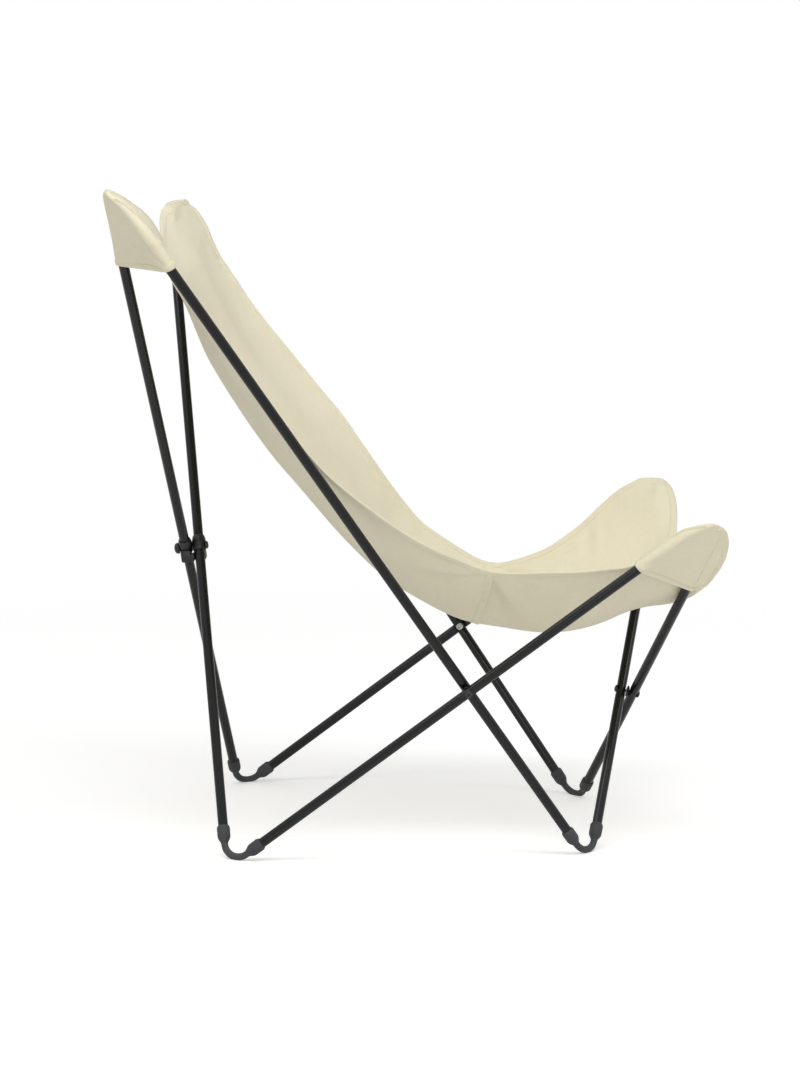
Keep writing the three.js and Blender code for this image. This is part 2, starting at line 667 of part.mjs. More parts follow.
function pocketRing(first, second, directions, normal, radius) {
  const reach = between(first, second);
  const face = normal.clone().projectOnPlane(reach).normalize();
  if (crossOf(reach, face).dot(directions[0]) > 0) face.negate();
  const ring = [];
  for (const [centre, direction, start] of [[second, directions[1], -1], [first, directions[0], 1]]) {
    for (let step = 0; step <= POCKET_SIDES / 2; step += 1) {
      const angle = start * Math.PI / 2 + step * Math.PI * 2 / POCKET_SIDES;
      const spoke = reach.clone().multiplyScalar(Math.cos(angle)).addScaledVector(face, Math.sin(angle));
      ring.push(along(centre, spoke, radius / Math.sin(spoke.angleTo(direction))));
    }
  }
  return ring;
}

function pocketMesh({ name, tops, normal, depth, tip }) {
  const directions = tops.map(({ direction }) => direction);
  const outer = [];
  const inner = [];
  const addRing = (first, second, radius) => {
    outer.push(pocketRing(first, second, directions, normal, radius));
    inner.push(pocketRing(first, second, directions, normal, radius - POCKET_THICKNESS));
  };
  for (let ring = 0; ring <= POCKET_RINGS; ring += 1) {
    const back = depth * (1 - ring / POCKET_RINGS);
    addRing(...tops.map(({ end, direction }) => along(end, direction, -back)), POCKET_RADIUS);
  }
  for (const share of POCKET_TIP_SHARES) {
    const radius = POCKET_RADIUS * Math.sqrt(1 - share * share);
    addRing(...tops.map(({ end }) => end.clone().lerp(tip, share)), radius);
  }
  inner.pop();
  return meshOf(name, bagGeometry(outer, inner), canvas);
}

function bagGeometry(outer, inner) {
  const width = outer[0].length;
  const rings = [...[...outer].reverse(), ...inner];
  const positions = rings.flatMap((ring) => ring.flatMap((point) => point.toArray()));
  const faces = [];
  for (let ring = 0; ring < rings.length - 1; ring += 1) {
    for (let side = 0; side < width; side += 1) {
      const next = (side + 1) % width;
      const a = ring * width + side;
      const b = ring * width + next;
      faces.push(a, b, b + width, a, b + width, a + width);
    }
  }
  const last = (rings.length - 1) * width;
  for (let side = 1; side < width - 1; side += 1) {
    faces.push(0, side + 1, side);
    faces.push(last, last + side, last + side + 1);
  }
  const geometry = new THREE.BufferGeometry();
  geometry.setAttribute('position', new THREE.Float32BufferAttribute(positions, 3));
  geometry.setIndex(faces);
  geometry.computeVertexNormals();
  return geometry;
}

// The whole chair

const HOLE = RIVET_DIAMETER / 2 + HOLE_CLEARANCE;
const HINGE_HOLE = HINGE_PIN_DIAMETER / 2 + HINGE_PIN_CLEARANCE;
const TUBES = {
  long_side_tube_right: ['longRight', PINS.sideRight, HOLE],
  long_side_tube_left: ['longLeft', PINS.sideLeft, HOLE],
  short_side_tube_right: ['shortRight', PINS.sideRight, HOLE],
  short_side_tube_left: ['shortLeft', PINS.sideLeft, HOLE],
  back_tube_outer: ['backOuter', PINS.back, HINGE_HOLE],
  back_tube_inner: ['backInner', PINS.back, HINGE_HOLE],
  front_tube_outer: ['frontOuter', PINS.front, HOLE],
  front_tube_inner: ['frontInner', PINS.front, HOLE],
};

const chair = new THREE.Group();
for (const [name, [key, pin, hole]] of Object.entries(TUBES)) {
  chair.add(tubeMesh(name, key, pin, hole), capMesh(`${name}_cap`, key));
}
for (const name of Object.keys(FEET)) chair.add(footMesh(name));
chair.add(...sideCrossing('right', PINS.sideRight), ...sideCrossing('left', PINS.sideLeft));
chair.add(...frontCrossing(PINS.front));
chair.add(hingeHalf('back_hinge_outer_half', 'backOuter', 1), hingeHalf('back_hinge_inner_half', 'backInner', -1));
chair.add(hingePin(), hingeKnob());

const seamGap = GAP / SLING_SAG;
const lastStation = MIDDLE_SHARES.length - 1;
chair.add(slingPanel('back_panel', 0, SEAM_STATION - seamGap, BACK_ROWS));
chair.add(slingPanel('seat_panel', SEAM_STATION + seamGap, lastStation, SEAT_ROWS));
chair.add(...corners.map(pocketMesh));

// The chair stands on z = 0, with its outline centred on the origin
const outline = new THREE.Box3().setFromObject(chair, true);
const centre = outline.getCenter(new THREE.Vector3());
chair.position.set(-centre.x, -centre.y, 0);

export default chair;
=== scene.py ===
"""Looks of a butterfly sling chair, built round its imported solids.

Metres, +Z up. The chair faces -Y, so the sitter's right hand is on the -X side.
Tubes, feet, rivets, the back hinge and the canvas are read from the frame and dressed here.
"""

import json
import logging
import math
from dataclasses import dataclass, field
from enum import Enum
from functools import cached_property

import bpy
import numpy as np
from mathutils import Matrix, Vector
from numpy.linalg import norm


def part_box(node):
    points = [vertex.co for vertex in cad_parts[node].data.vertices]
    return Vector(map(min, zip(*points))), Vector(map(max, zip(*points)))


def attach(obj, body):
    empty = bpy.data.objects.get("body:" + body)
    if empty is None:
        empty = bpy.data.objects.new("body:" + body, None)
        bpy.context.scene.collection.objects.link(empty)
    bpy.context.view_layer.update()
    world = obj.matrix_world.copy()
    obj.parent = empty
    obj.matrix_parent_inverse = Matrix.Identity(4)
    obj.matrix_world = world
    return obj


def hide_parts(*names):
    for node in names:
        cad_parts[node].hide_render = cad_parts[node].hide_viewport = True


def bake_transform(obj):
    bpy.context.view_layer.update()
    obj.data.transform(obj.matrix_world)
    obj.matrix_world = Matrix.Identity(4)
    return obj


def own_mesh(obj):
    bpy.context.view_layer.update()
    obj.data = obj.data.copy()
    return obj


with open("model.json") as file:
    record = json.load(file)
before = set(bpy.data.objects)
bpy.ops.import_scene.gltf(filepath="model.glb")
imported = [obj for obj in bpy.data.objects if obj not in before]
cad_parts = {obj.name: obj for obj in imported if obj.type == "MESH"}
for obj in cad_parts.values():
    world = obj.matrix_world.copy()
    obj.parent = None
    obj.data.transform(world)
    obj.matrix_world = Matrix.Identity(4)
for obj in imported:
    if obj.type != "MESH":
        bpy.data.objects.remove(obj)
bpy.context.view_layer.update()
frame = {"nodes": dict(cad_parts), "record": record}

log = logging.getLogger("sling_chair")
Points = np.ndarray
Rgb = tuple[int, int, int]
Triple = tuple[float, float, float]
Pairs = list[tuple[Points, Points]]
Profile = list[tuple[float, float]]
Piece = bpy.types.Object
Material = bpy.types.Material
Nodes = bpy.types.NodeTree
Socket = bpy.types.NodeSocket

WEAVE_LAYER = "weave"
ACROSS, BACKWARD, UP = np.eye(3)
MERGE = 1e-5
STEP = 1e-3


class Side(Enum):
    """The sitter's sides of the chair, with the sign that points to the chair's middle."""

    RIGHT = 1
    LEFT = -1

    @property
    def word(self) -> str:
        """The side's name as it stands in the names of the nodes."""
        return self.name.lower()


class ClothEnd(Enum):
    """The two ends of the sling, with their place among its stations."""

    BACK = 0
    FRONT = 1


# Small geometry


def unit(vector: Points) -> Points:
    """The vector at length one."""
    return vector / norm(vector)


def units(vectors: Points) -> Points:
    """Each row of the array at length one."""
    return vectors / np.maximum(norm(vectors, axis=-1, keepdims=True), 1e-12)


def smooth_step(value: Points) -> Points:
    """Eases from 0 to 1 as the value goes from 0 to 1."""
    clipped = np.clip(value, 0, 1)
    return clipped * clipped * (3 - 2 * clipped)


def bump(value: Points, centre: float, reach: float) -> Points:
    """A smooth hill, 1 at the centre and near 0 two reaches away."""
    return np.exp(-(((value - centre) / reach) ** 2))


def linear_colour(rgb: Rgb) -> tuple[float, float, float, float]:
    """A colour written in the 0 to 255 of a screen, as linear light.

    Args:
        rgb: Red, green and blue from 0 to 255.

    Returns:
        Red, green, blue and alpha for a shader socket.
    """
    shares = [part / 255 for part in rgb]
    light = [s / 12.92 if s <= 0.04045 else ((s + 0.055) / 1.055) ** 2.4 for s in shares]
    return (*light, 1.0)


def node_points(node: str) -> Points:
    """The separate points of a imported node, in the frame."""
    vertices = frame["nodes"][node].data.vertices
    points = np.array([vertex.co for vertex in vertices], float)
    return np.unique((points / MERGE).round().astype(int), axis=0) * MERGE


def node_centre(node: str) -> Points:
    """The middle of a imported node's box."""
    low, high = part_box(node)
    return np.array((low + high) / 2)


def body_of(node: str) -> str:
    """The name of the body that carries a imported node."""
    bodies = frame["record"]["behaviour"]["bodies"]
    return next(body for body, nodes in bodies.items() if node in nodes)


def run_along(points: Points) -> Points:
    """How far each point of a line is from its first, along the line."""
    return np.concatenate([[0], np.cumsum(norm(np.diff(points, axis=0), axis=1))])


def placed(name: str, data: bpy.types.ID) -> Piece:
    """Adds an object with the given data to the scene."""
    made = bpy.data.objects.new(name, data)
    bpy.context.scene.collection.objects.link(made)
    return made


def point_at(place: float, run: Points, points: Points) -> Points:
    """The point of a line at a length from its start."""
    return np.array([np.interp(place, run, points[:, column]) for column in range(3)])


class CatmullLine:
    """A smooth line through given points, with centripetal spacing."""

    def __init__(self, points: Points) -> None:
        """Keeps the points and one more beyond each end."""
        first = 2 * points[0] - points[1]
        last = 2 * points[-1] - points[-2]
        self.points = points
        self.extended = np.vstack([first, points, last])

    def at(self, share: Points) -> Points:
        """Points of the line.

        Args:
            share: Places along the line, from 0 at its first point to 1 at its last.

        Returns:
            One row for each place.
        """
        place = np.clip(np.asarray(share, float), 0, 1) * (len(self.points) - 1)
        piece = np.minimum(place.astype(int), len(self.points) - 2)
        weight = (place - piece)[..., None]
        before, start, end, after = (self.extended[piece + step] for step in range(4))
        gaps = [
            np.sqrt(np.maximum(norm(b - a, axis=-1, keepdims=True), MERGE))
            for a, b in ((before, start), (start, end), (end, after))
        ]
        d0, d1, d2 = gaps
        leave = (start - before) / d0 - (end - before) / (d0 + d1) + (end - start) / d1
        arrive = (end - start) / d1 - (after - start) / (d1 + d2) + (after - end) / d2
        leave, arrive = leave * d1, arrive * d1
        square = -3 * start + 3 * end - 2 * leave - arrive
        cube = 2 * start - 2 * end + leave + arrive
        return start + weight * (leave + weight * (square + weight * cube))


@dataclass(frozen=True)
class TubeLine:
    """The straight middle line of a tube."""

    node: str
    bottom: Points
    top: Points

    @classmethod
    def of_node(cls, node: str) -> "TubeLine":
        """Finds the line from the rings at the two ends of a packed tube."""
        points = node_points(node)
        direction = np.linalg.svd(points - points.mean(0))[2][0]
        for _ in range(2):
            heights = points @ direction
            low = points[heights < heights.min() + STEP].mean(0)
            high = points[heights > heights.max() - STEP].mean(0)
            direction = unit(high - low)
        bottom, top = sorted((low, high), key=lambda end: end[2])
        return cls(node, bottom, top)

    @property
    def direction(self) -> Points:
        """The way up along the tube."""
        return unit(self.top - self.bottom)

    @property
    def length(self) -> float:
        """From the bottom to the top."""
        return float(norm(self.top - self.bottom))

    def nearest(self, point: Points) -> Points:
        """The point of the line that is closest to another point."""
        return self.bottom + self.direction * float((point - self.bottom) @ self.direction)


def square_frame(axis: Points) -> tuple[Points, Points]:
    """Two directions square to an axis and to each other."""
    helper = UP if abs(axis[2]) < 0.9 else BACKWARD
    side = unit(np.cross(helper, axis))
    return side, np.cross(axis, side)


def ring(centre: Points, side: Points, other: Points, radius: float, sides: int) -> Points:
    """A round ring of points.

    Args:
        centre: The middle of the ring.
        side: The direction of its first point.
        other: The direction a quarter turn on.
        radius: Its radius.
        sides: The number of points.

    Returns:
        One row for each point.
    """
    angles = np.arange(sides) * 2 * math.pi / sides
    return centre + radius * (np.outer(np.cos(angles), side) + np.outer(np.sin(angles), other))


@dataclass
class Draft:
    """The points and faces of a piece while it is being made."""

    points: list[Points] = field(default_factory=list)
    faces: list[tuple[int, ...]] = field(default_factory=list)
    materials: list[int] = field(default_factory=list)
    weave: list[Points] = field(default_factory=list)
    count: int = 0

    def add_points(self, points: Points, weave: Points | None = None) -> int:
        """Adds points, with their places on the flat cloth, and gives the first one's number."""
        first = self.count
        self.points.append(points)
        self.weave.append(np.zeros((len(points), 2)) if weave is None else weave)
        self.count += len(points)
        return first

    def add_face(self, face: tuple[int, ...], material: int = 0) -> None:
        """Adds one face."""
        self.faces.append(face)
        self.materials.append(material)

    def add_rings(self, rings: list[Points], caps: tuple[bool, bool] = (True, True), material: int = 0) -> None:
        """Joins rings of equal size into one skin.

        Args:
            rings: The rings, in order.
            caps: Whether the first and last ring are filled.
            material: The number of the finish in the piece's list.
        """
        sides = len(rings[0])
        first = self.add_points(np.vstack(rings))
        last = first + (len(rings) - 1) * sides
        for start in range(first, last, sides):
            for column in range(sides):
                a, b = start + column, start + (column + 1) % sides
                self.add_face((a, b, b + sides, a + sides), material)
        if caps[0]:
            self.add_face(tuple(range(first + sides - 1, first - 1, -1)), material)
        if caps[1]:
            self.add_face(tuple(range(last, last + sides)), material)

    def add_strip(self, rings: Points, widths: list[float], run: Points) -> None:
        """Adds a folded strip of cloth.

        Args:
            rings: The strip's section at each place along it.
            widths: How far each point of the section is across the flat cloth.
            run: How far each ring is along the flat cloth.
        """
        self.add_rings(rings)
        self.weave[-1] = np.stack([np.tile(widths, len(run)), np.repeat(run, len(widths))], axis=-1)

    def add_turned(
        self, origin: Points, axis: Points, profile: Profile, sides: int,
        caps: tuple[bool, bool] = (True, True), material: int = 0,
    ) -> None:
        """Adds a body turned about an axis.

        Args:
            origin: The zero of the profile's heights.
            axis: The axis, at length one.
            profile: Pairs of radius and height, up the outside.
            sides: The number of points round it.
            caps: Whether the first and last ring are filled.
            material: The number of the finish in the piece's list.
        """
        side, other = square_frame(axis)
        rings = [ring(origin + axis * height, side, other, radius, sides) for radius, height in profile]
        self.add_rings(rings, caps, material)

    def add_grid(self, grid: Points, weave: Points, flip: bool = False) -> None:
        """Adds the faces of a sheet of points in rows and columns.

        Args:
            grid: Points as rows, columns and three coordinates.
            weave: Their places on the flat cloth, as rows, columns and two coordinates.
            flip: Whether the faces look the other way.
        """
        rows, columns = grid.shape[:2]
        first = self.add_points(grid.reshape(-1, 3), weave.reshape(-1, 2))
        for start in range(first, first + (rows - 1) * columns, columns):
            for a in range(start, start + columns - 1):
                face = (a, a + 1, a + columns + 1, a + columns)
                self.add_face(face[::-1] if flip else face)

    def add_sheet(self, upper: Points, lower: Points, weave: Points) -> None:
        """Adds a closed sheet of cloth to an empty draft.

        Args:
            upper: The points of its upper face, as rows, columns and three coordinates.
            lower: The points of its lower face.
            weave: The places of both on the flat cloth.
        """
        self.add_grid(upper, weave)
        self.add_grid(lower, weave, flip=True)
        under = upper.shape[0] * upper.shape[1]
        numbers = np.arange(under).reshape(upper.shape[:2])
        sides = [numbers[0], numbers[1:, -1], numbers[-1, -2::-1], numbers[-2:0:-1, 0]]
        rim = np.concatenate(sides).tolist()
        for a, b in zip(rim, rim[1:] + rim[:1]):
            self.add_face((b, a, a + under, b + under))

    def build(self, name: str, finishes: list[Material], smooth: float | None = None) -> Piece:
        """Makes the object.

        Args:
            name: The piece's name.
            finishes: Its materials, in the order of the faces' numbers.
            smooth: The angle in degrees below which edges are smooth, or None for all.

        Returns:
            The object, in the frame, riding on nothing yet.
        """
        mesh = bpy.data.meshes.new(name)
        mesh.from_pydata([tuple(point) for point in np.vstack(self.points)], [], self.faces)
        for finish in finishes:
            mesh.materials.append(finish)
        mesh.polygons.foreach_set("material_index", self.materials)
        corners = np.zeros(len(mesh.loops), int)
        mesh.loops.foreach_get("vertex_index", corners)
        layer = mesh.uv_layers.new(name=WEAVE_LAYER)
        layer.data.foreach_set("uv", np.vstack(self.weave)[corners].astype(np.float32).ravel())
        mesh.update()
        mesh.validate()
        mesh.shade_smooth()
        if smooth is not None:
            mesh.set_sharp_from_angle(angle=math.radians(smooth))
        return placed(name, mesh)

    def stand_in(self, node: str, ending: str, slot: str, finishes: list[Material], smooth: float) -> None:
        """Makes the piece that takes the place of a node, on that node's body."""
        settle(self.build(f"{node}_{ending}", finishes, smooth), body_of(node), slot, node)


def settle(piece: Piece, body: str, slot: str, *nodes: str) -> None:
    """Sets a piece on its body and hides the nodes that it stands for."""
    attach(piece, body)
    if nodes:
        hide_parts(*nodes)
    log.info("%s rides on %s, %d points", piece.name, body, len(piece.data.vertices))


# Shader nodes


@dataclass
class NodeKit:
    """Short ways to add nodes to a shader's tree."""

    tree: Nodes

    def new(self, kind: str) -> bpy.types.Node:
        """Adds a shader node of the given kind."""
        return self.tree.nodes.new(f"ShaderNode{kind}")

    def feed(self, socket: Socket, value: object) -> None:
        """Joins a socket to another one, or sets it to a plain value."""
        if isinstance(value, Socket):
            self.tree.links.new(value, socket)
        else:
            socket.default_value = value

    def filled(self, kind: str, values: dict[str, object]) -> bpy.types.Node:
        """Adds a node and fills its named inputs."""
        node = self.new(kind)
        for label, value in values.items():
            self.feed(node.inputs[label], value)
        return node

    def math(self, operation: str, *values: object, clamp: bool = False) -> Socket:
        """The result of a Math node, with its inputs filled in order."""
        node = self.new("Math")
        node.operation = operation
        node.use_clamp = clamp
        for socket, value in zip(node.inputs, values):
            self.feed(socket, value)
        return node.outputs[0]

    def add(self, first: object, second: object, clamp: bool = False) -> Socket:
        """The sum of two values."""
        return self.math("ADD", first, second, clamp=clamp)

    def times(self, first: object, second: object, clamp: bool = False) -> Socket:
        """The product of two values."""
        return self.math("MULTIPLY", first, second, clamp=clamp)

    def mix(self, share: Socket, first: Rgb, second: Rgb) -> Socket:
        """A colour between two colours of a screen."""
        node = self.new("Mix")
        node.data_type = "RGBA"
        self.feed(node.inputs["Factor"], share)
        sockets = [socket for socket in node.inputs if socket.type == "RGBA"]
        for socket, colour in zip(sockets, (first, second)):
            self.feed(socket, linear_colour(colour))
        return next(socket for socket in node.outputs if socket.type == "RGBA")

    def noise(self, vector: Socket, scale: object, detail: float = 2.0, rough: float = 0.5) -> Socket:
        """The plain value of a Noise Texture node."""
        values = {"Vector": vector, "Scale": scale, "Detail": detail, "Roughness": rough}
        return self.filled("TexNoise", values).outputs["Fac"]

    def ramp(self, value: Socket, low: float, high: float) -> Socket:
        """A Map Range node that takes low to 0 and high to 1 and stops there."""
        node = self.filled("MapRange", {"Value": value, "From Min": low, "From Max": high})
        node.interpolation_type = "SMOOTHSTEP"
        return node.outputs["Result"]

    def scaled(self, vector: Socket, factors: Triple) -> Socket:
        """A vector with each coordinate multiplied by its own factor."""
        node = self.new("VectorMath")
        node.operation = "MULTIPLY"
        self.feed(node.inputs[0], vector)
        self.feed(node.inputs[1], factors)
        return node.outputs[0]

    def place(self, group: Nodes, **values: object) -> bpy.types.NodeOutputs:
        """Puts in a group, fills its named inputs and gives its outputs."""
        node = self.new("Group")
        node.node_tree = group
        for label, value in values.items():
            self.feed(node.inputs[label], value)
        return node.outputs


class GroupKit(NodeKit):
    """One shader node group with named sockets."""

    def __init__(self, name: str, inputs: dict[str, float | None], outputs: tuple[str, ...]) -> None:
        """Makes the group with its sockets.

        Args:
            name: The group's name.
            inputs: Each input's name and starting value, or None for a vector.
            outputs: The names of the outputs, which carry one number each.
        """
        super().__init__(bpy.data.node_groups.new(name, "ShaderNodeTree"))
        new_socket = self.tree.interface.new_socket
        for label, value in inputs.items():
            kind = "NodeSocketVector" if value is None else "NodeSocketFloat"
            socket = new_socket(name=label, in_out="INPUT", socket_type=kind)
            if value is not None:
                socket.default_value = value
        for label in outputs:
            new_socket(name=label, in_out="OUTPUT", socket_type="NodeSocketFloat")
        self.source = self.tree.nodes.new("NodeGroupInput")
        self.result = self.tree.nodes.new("NodeGroupOutput")

    def take(self, label: str) -> Socket:
        """The socket that carries an input of the group."""
        return self.source.outputs[label]

    def give(self, label: str, socket: Socket) -> None:
        """Joins a socket to an output of the group."""
        self.feed(self.result.inputs[label], socket)


def weave_group() -> Nodes:
    """Plain weave of thick and thin yarns.

    Returns:
        A group that takes the flat cloth's coordinates in metres and the pitch of the yarns, and gives
        the height of the weave and the unevenness of its yarns, both from 0 to 1.
    """
    kit = GroupKit("plain_weave", {"Vector": None, "Pitch": 0.0009}, ("Height", "Slub"))
    parts = kit.filled("SeparateXYZ", {"Vector": kit.take("Vector")})
    turns = [kit.math("DIVIDE", parts.outputs[label], kit.take("Pitch")) for label in "XY"]
    wave = [kit.math("SINE", kit.times(turn, math.pi)) for turn in turns]
    over = kit.math("GREATER_THAN", kit.times(*wave), 0.0)
    heights = [kit.math("ABSOLUTE", part) for part in wave]
    below = kit.times(heights[1], kit.math("SUBTRACT", 1.0, over))
    kit.give("Height", kit.add(kit.times(heights[0], over), below))
    yarns = ((1100.0, 40.0, 1.0), (40.0, 1100.0, 1.0))
    warp, weft = (kit.noise(kit.scaled(kit.take("Vector"), factors), 1.0) for factors in yarns)
    kit.give("Slub", kit.times(kit.add(warp, weft), 0.5))
    return kit.tree


def tone_group() -> Nodes:
    """Slow drift of tone over a surface, with a little dust in places.

    Returns:
        A group that takes a vector and a scale, and gives the drift and the dust, both from 0 to 1.
    """
    kit = GroupKit("tone_and_dust", {"Vector": None, "Scale": 6.0}, ("Drift", "Dust"))
    slow = kit.noise(kit.take("Vector"), kit.take("Scale"), 3.0)
    kit.give("Drift", kit.ramp(slow, 0.3, 0.7))
    fine = kit.noise(kit.take("Vector"), kit.times(kit.take("Scale"), 40.0), 4.0, 0.7)
    kit.give("Dust", kit.ramp(fine, 0.58, 0.8))
    return kit.tree


def grain_group() -> Nodes:
    """Fine moulded or sprayed grain.

    Returns:
        A group that takes a vector and the grain's scale, and gives its height and its broad mottling.
    """
    kit = GroupKit("surface_grain", {"Vector": None, "Scale": 900.0}, ("Height", "Mottle"))
    vector, scale = kit.take("Vector"), kit.take("Scale")
    cells = kit.filled("TexVoronoi", {"Vector": vector, "Scale": scale})
    cells.feature = "SMOOTH_F1"
    fine = kit.noise(vector, scale, 3.0, 0.6)
    kit.give("Height", kit.add(kit.times(cells.outputs["Distance"], 0.6), fine))
    kit.give("Mottle", kit.noise(vector, kit.times(scale, 0.03)))
    return kit.tree


def scuff_group() -> Nodes:
    """Thin scuffs where hands and folding have rubbed a coat.

    Returns:
        A group that takes a vector and an amount, and gives a mask from 0 to 1.
    """
    kit = GroupKit("rubbed_scuffs", {"Vector": None, "Amount": 0.3}, ("Mask",))
    vector = kit.take("Vector")
    long_marks = kit.noise(kit.scaled(vector, (900.0, 900.0, 120.0)), 1.0, 3.0, 0.7)
    marks = kit.times(kit.ramp(long_marks, 0.66, 0.76), kit.ramp(kit.noise(vector, 14.0), 0.5, 0.72))
    kit.give("Mask", kit.times(marks, kit.take("Amount"), clamp=True))
    return kit.tree


@dataclass
class ShaderGroups:
    """The groups that the finishes share."""

    weave: Nodes = field(default_factory=weave_group)
    tone: Nodes = field(default_factory=tone_group)
    grain: Nodes = field(default_factory=grain_group)
    scuff: Nodes = field(default_factory=scuff_group)


class MaterialKit(NodeKit):
    """One material: a Principled BSDF joined to its output."""

    def __init__(self, name: str) -> None:
        """Makes the material."""
        self.material = bpy.data.materials.new(name)
        self.material.use_nodes = True
        super().__init__(self.material.node_tree)
        self.tree.nodes.clear()
        self.shader = self.new("BsdfPrincipled")
        self.filled("OutputMaterial", {"Surface": self.shader.outputs[0]})
        self.own = self.new("TexCoord").outputs["Object"]

    def finish(self, height: Socket, strength: float, depth: float, values: dict[str, object]) -> Material:
        """Fills the shader.

        Args:
            height: The height that bumps its normal.
            strength: The strength of the bump.
            depth: Its depth in metres.
            values: The shader's other inputs by name.

        Returns:
            The finished material.
        """
        bumped = self.filled("Bump", {"Height": height, "Strength": strength, "Distance": depth})
        for label, value in {**values, "Normal": bumped.outputs["Normal"]}.items():
            self.feed(self.shader.inputs[label], value)
        return self.material


@dataclass(frozen=True)
class CanvasFinish:
    """Undyed cotton canvas in plain weave, with painted shade in the gaps between the yarns."""

    name: str = "ecru_canvas"
    light: Rgb = (233, 226, 201)
    dark: Rgb = (215, 207, 180)
    pitch: float = 0.0011
    depth: float = 0.00018
    strength: float = 0.45

    def material(self, groups: ShaderGroups) -> Material:
        """Builds the material."""
        kit = MaterialKit(self.name)
        flat = kit.new("UVMap")
        flat.uv_map = WEAVE_LAYER
        weave = kit.place(groups.weave, Vector=flat.outputs["UV"], Pitch=self.pitch)
        tone = kit.place(groups.tone, Vector=kit.own, Scale=5.0)
        # painted shade: where the weave is low, in the gaps between the yarns, the colour goes toward the dark
        # end; the yarns' slub and the drift of tone are the cloth's own
        between = kit.times(kit.math("SUBTRACT", 1.0, weave["Height"]), 0.35)
        yarn = kit.times(kit.ramp(weave["Slub"], 0.35, 0.65), 0.3)
        share = kit.add(kit.add(between, yarn), kit.times(tone["Drift"], 0.3), clamp=True)
        values = {
            "Base Color": kit.mix(share, self.light, self.dark),
            "Roughness": kit.add(kit.times(weave["Slub"], 0.12), 0.8),
            "Specular IOR Level": 0.25,
            "Sheen Weight": 0.12,
            "Sheen Roughness": 0.6,
        }
        return kit.finish(kit.add(weave["Height"], weave["Slub"]), self.strength, self.depth, values)


@dataclass(frozen=True)
class ThreadFinish:
    """Sewing thread, a touch lighter than the canvas, with painted shade in the hollows of its twist."""

    name: str = "ecru_thread"
    colour: Rgb = (232, 223, 196)
    shade: Rgb = (196, 186, 158)
    roughness: float = 0.6
    depth: float = 0.0002

    def material(self, groups: ShaderGroups) -> Material:
        """Builds the material."""
        kit = MaterialKit(self.name)
        twist = kit.place(groups.grain, Vector=kit.own, Scale=2600.0)
        # painted shade: where the twist's grain is low, in its hollows, the colour goes to the darker shade
        # colour
        colour = kit.mix(kit.ramp(twist["Height"], 0.4, 1.0), self.shade, self.colour)
        values = {"Base Color": colour, "Roughness": self.roughness, "Sheen Weight": 0.2}
        return kit.finish(twist["Height"], 0.4, self.depth, values)


@dataclass(frozen=True)
class CoatFinish:
    """Satin black coat on steel tube, rubbed thin in places."""

    name: str = "black_satin_coat"
    colour: Rgb = (15, 16, 17)
    bare: Rgb = (70, 70, 72)
    roughness: float = 0.12
    gloss: float = 0.28
    depth: float = 0.0001

    def material(self, groups: ShaderGroups) -> Material:
        """Builds the material."""
        kit = MaterialKit(self.name)
        grain = kit.place(groups.grain, Vector=kit.own, Scale=700.0)
        scuff = kit.place(groups.scuff, Vector=kit.own, Amount=0.5)
        tone = kit.place(groups.tone, Vector=kit.own, Scale=9.0)
        share = kit.add(scuff["Mask"], kit.times(tone["Dust"], 0.12), clamp=True)
        rough = kit.add(kit.times(grain["Mottle"], 0.08), kit.times(share, 0.2))
        values = {
            "Base Color": kit.mix(share, self.colour, self.bare),
            "Roughness": kit.add(rough, self.roughness),
            "Specular IOR Level": self.gloss,
        }
        return kit.finish(grain["Height"], 0.03, self.depth, values)


@dataclass(frozen=True)
class MouldedFinish:
    """Moulded rubber or plastic, in black or dark grey."""

    name: str
    colour: Rgb
    worn: Rgb
    roughness: float
    scale: float
    strength: float
    gloss: float = 0.35
    depth: float = 0.0003

    def material(self, groups: ShaderGroups) -> Material:
        """Builds the material."""
        kit = MaterialKit(self.name)
        grain = kit.place(groups.grain, Vector=kit.own, Scale=self.scale)
        tone = kit.place(groups.tone, Vector=kit.own, Scale=22.0)
        share = kit.add(kit.times(tone["Dust"], 0.3), kit.times(tone["Drift"], 0.3), clamp=True)
        values = {
            "Base Color": kit.mix(share, self.colour, self.worn),
            "Roughness": kit.add(kit.times(grain["Mottle"], 0.2), self.roughness),
            "Specular IOR Level": self.gloss,
        }
        return kit.finish(grain["Height"], self.strength, self.depth, values)


@dataclass(frozen=True)
class PlatedFinish:
    """Bright zinc on the rolled end of a rivet."""

    name: str = "zinc_plate"
    colour: Rgb = (176, 176, 172)
    dull: Rgb = (112, 112, 110)
    depth: float = 0.0002

    def material(self, groups: ShaderGroups) -> Material:
        """Builds the material."""
        kit = MaterialKit(self.name)
        grain = kit.place(groups.grain, Vector=kit.own, Scale=1800.0)
        scuff = kit.place(groups.scuff, Vector=kit.own, Amount=0.8)
        values = {
            "Base Color": kit.mix(scuff["Mask"], self.colour, self.dull),
            "Metallic": 0.85,
            "Roughness": kit.add(kit.times(grain["Mottle"], 0.3), 0.25),
        }
        return kit.finish(grain["Height"], 0.1, self.depth, values)


RUBBER = MouldedFinish("dark_grey_elastomer", (52, 53, 56), (84, 84, 86), 0.52, 1500.0, 0.12)
PLASTIC = MouldedFinish("black_moulded_plastic", (16, 16, 17), (38, 38, 40), 0.32, 1100.0, 0.06, 0.4)
HARDWARE = MouldedFinish("black_hardware_coat", (18, 18, 20), (44, 44, 46), 0.26, 1400.0, 0.05, 0.5)


class Finishes:
    """Every finish of the chair, built once."""

    def __init__(self) -> None:
        """Builds the shared groups and the materials."""
        groups = ShaderGroups()
        finishes = (CanvasFinish(), ThreadFinish(), CoatFinish(), RUBBER, PLASTIC, HARDWARE, PlatedFinish())
        made = [finish.material(groups) for finish in finishes]
        self.canvas, self.thread, self.coat, self.rubber, self.plastic, self.hardware, self.plate = made


# The steel frame


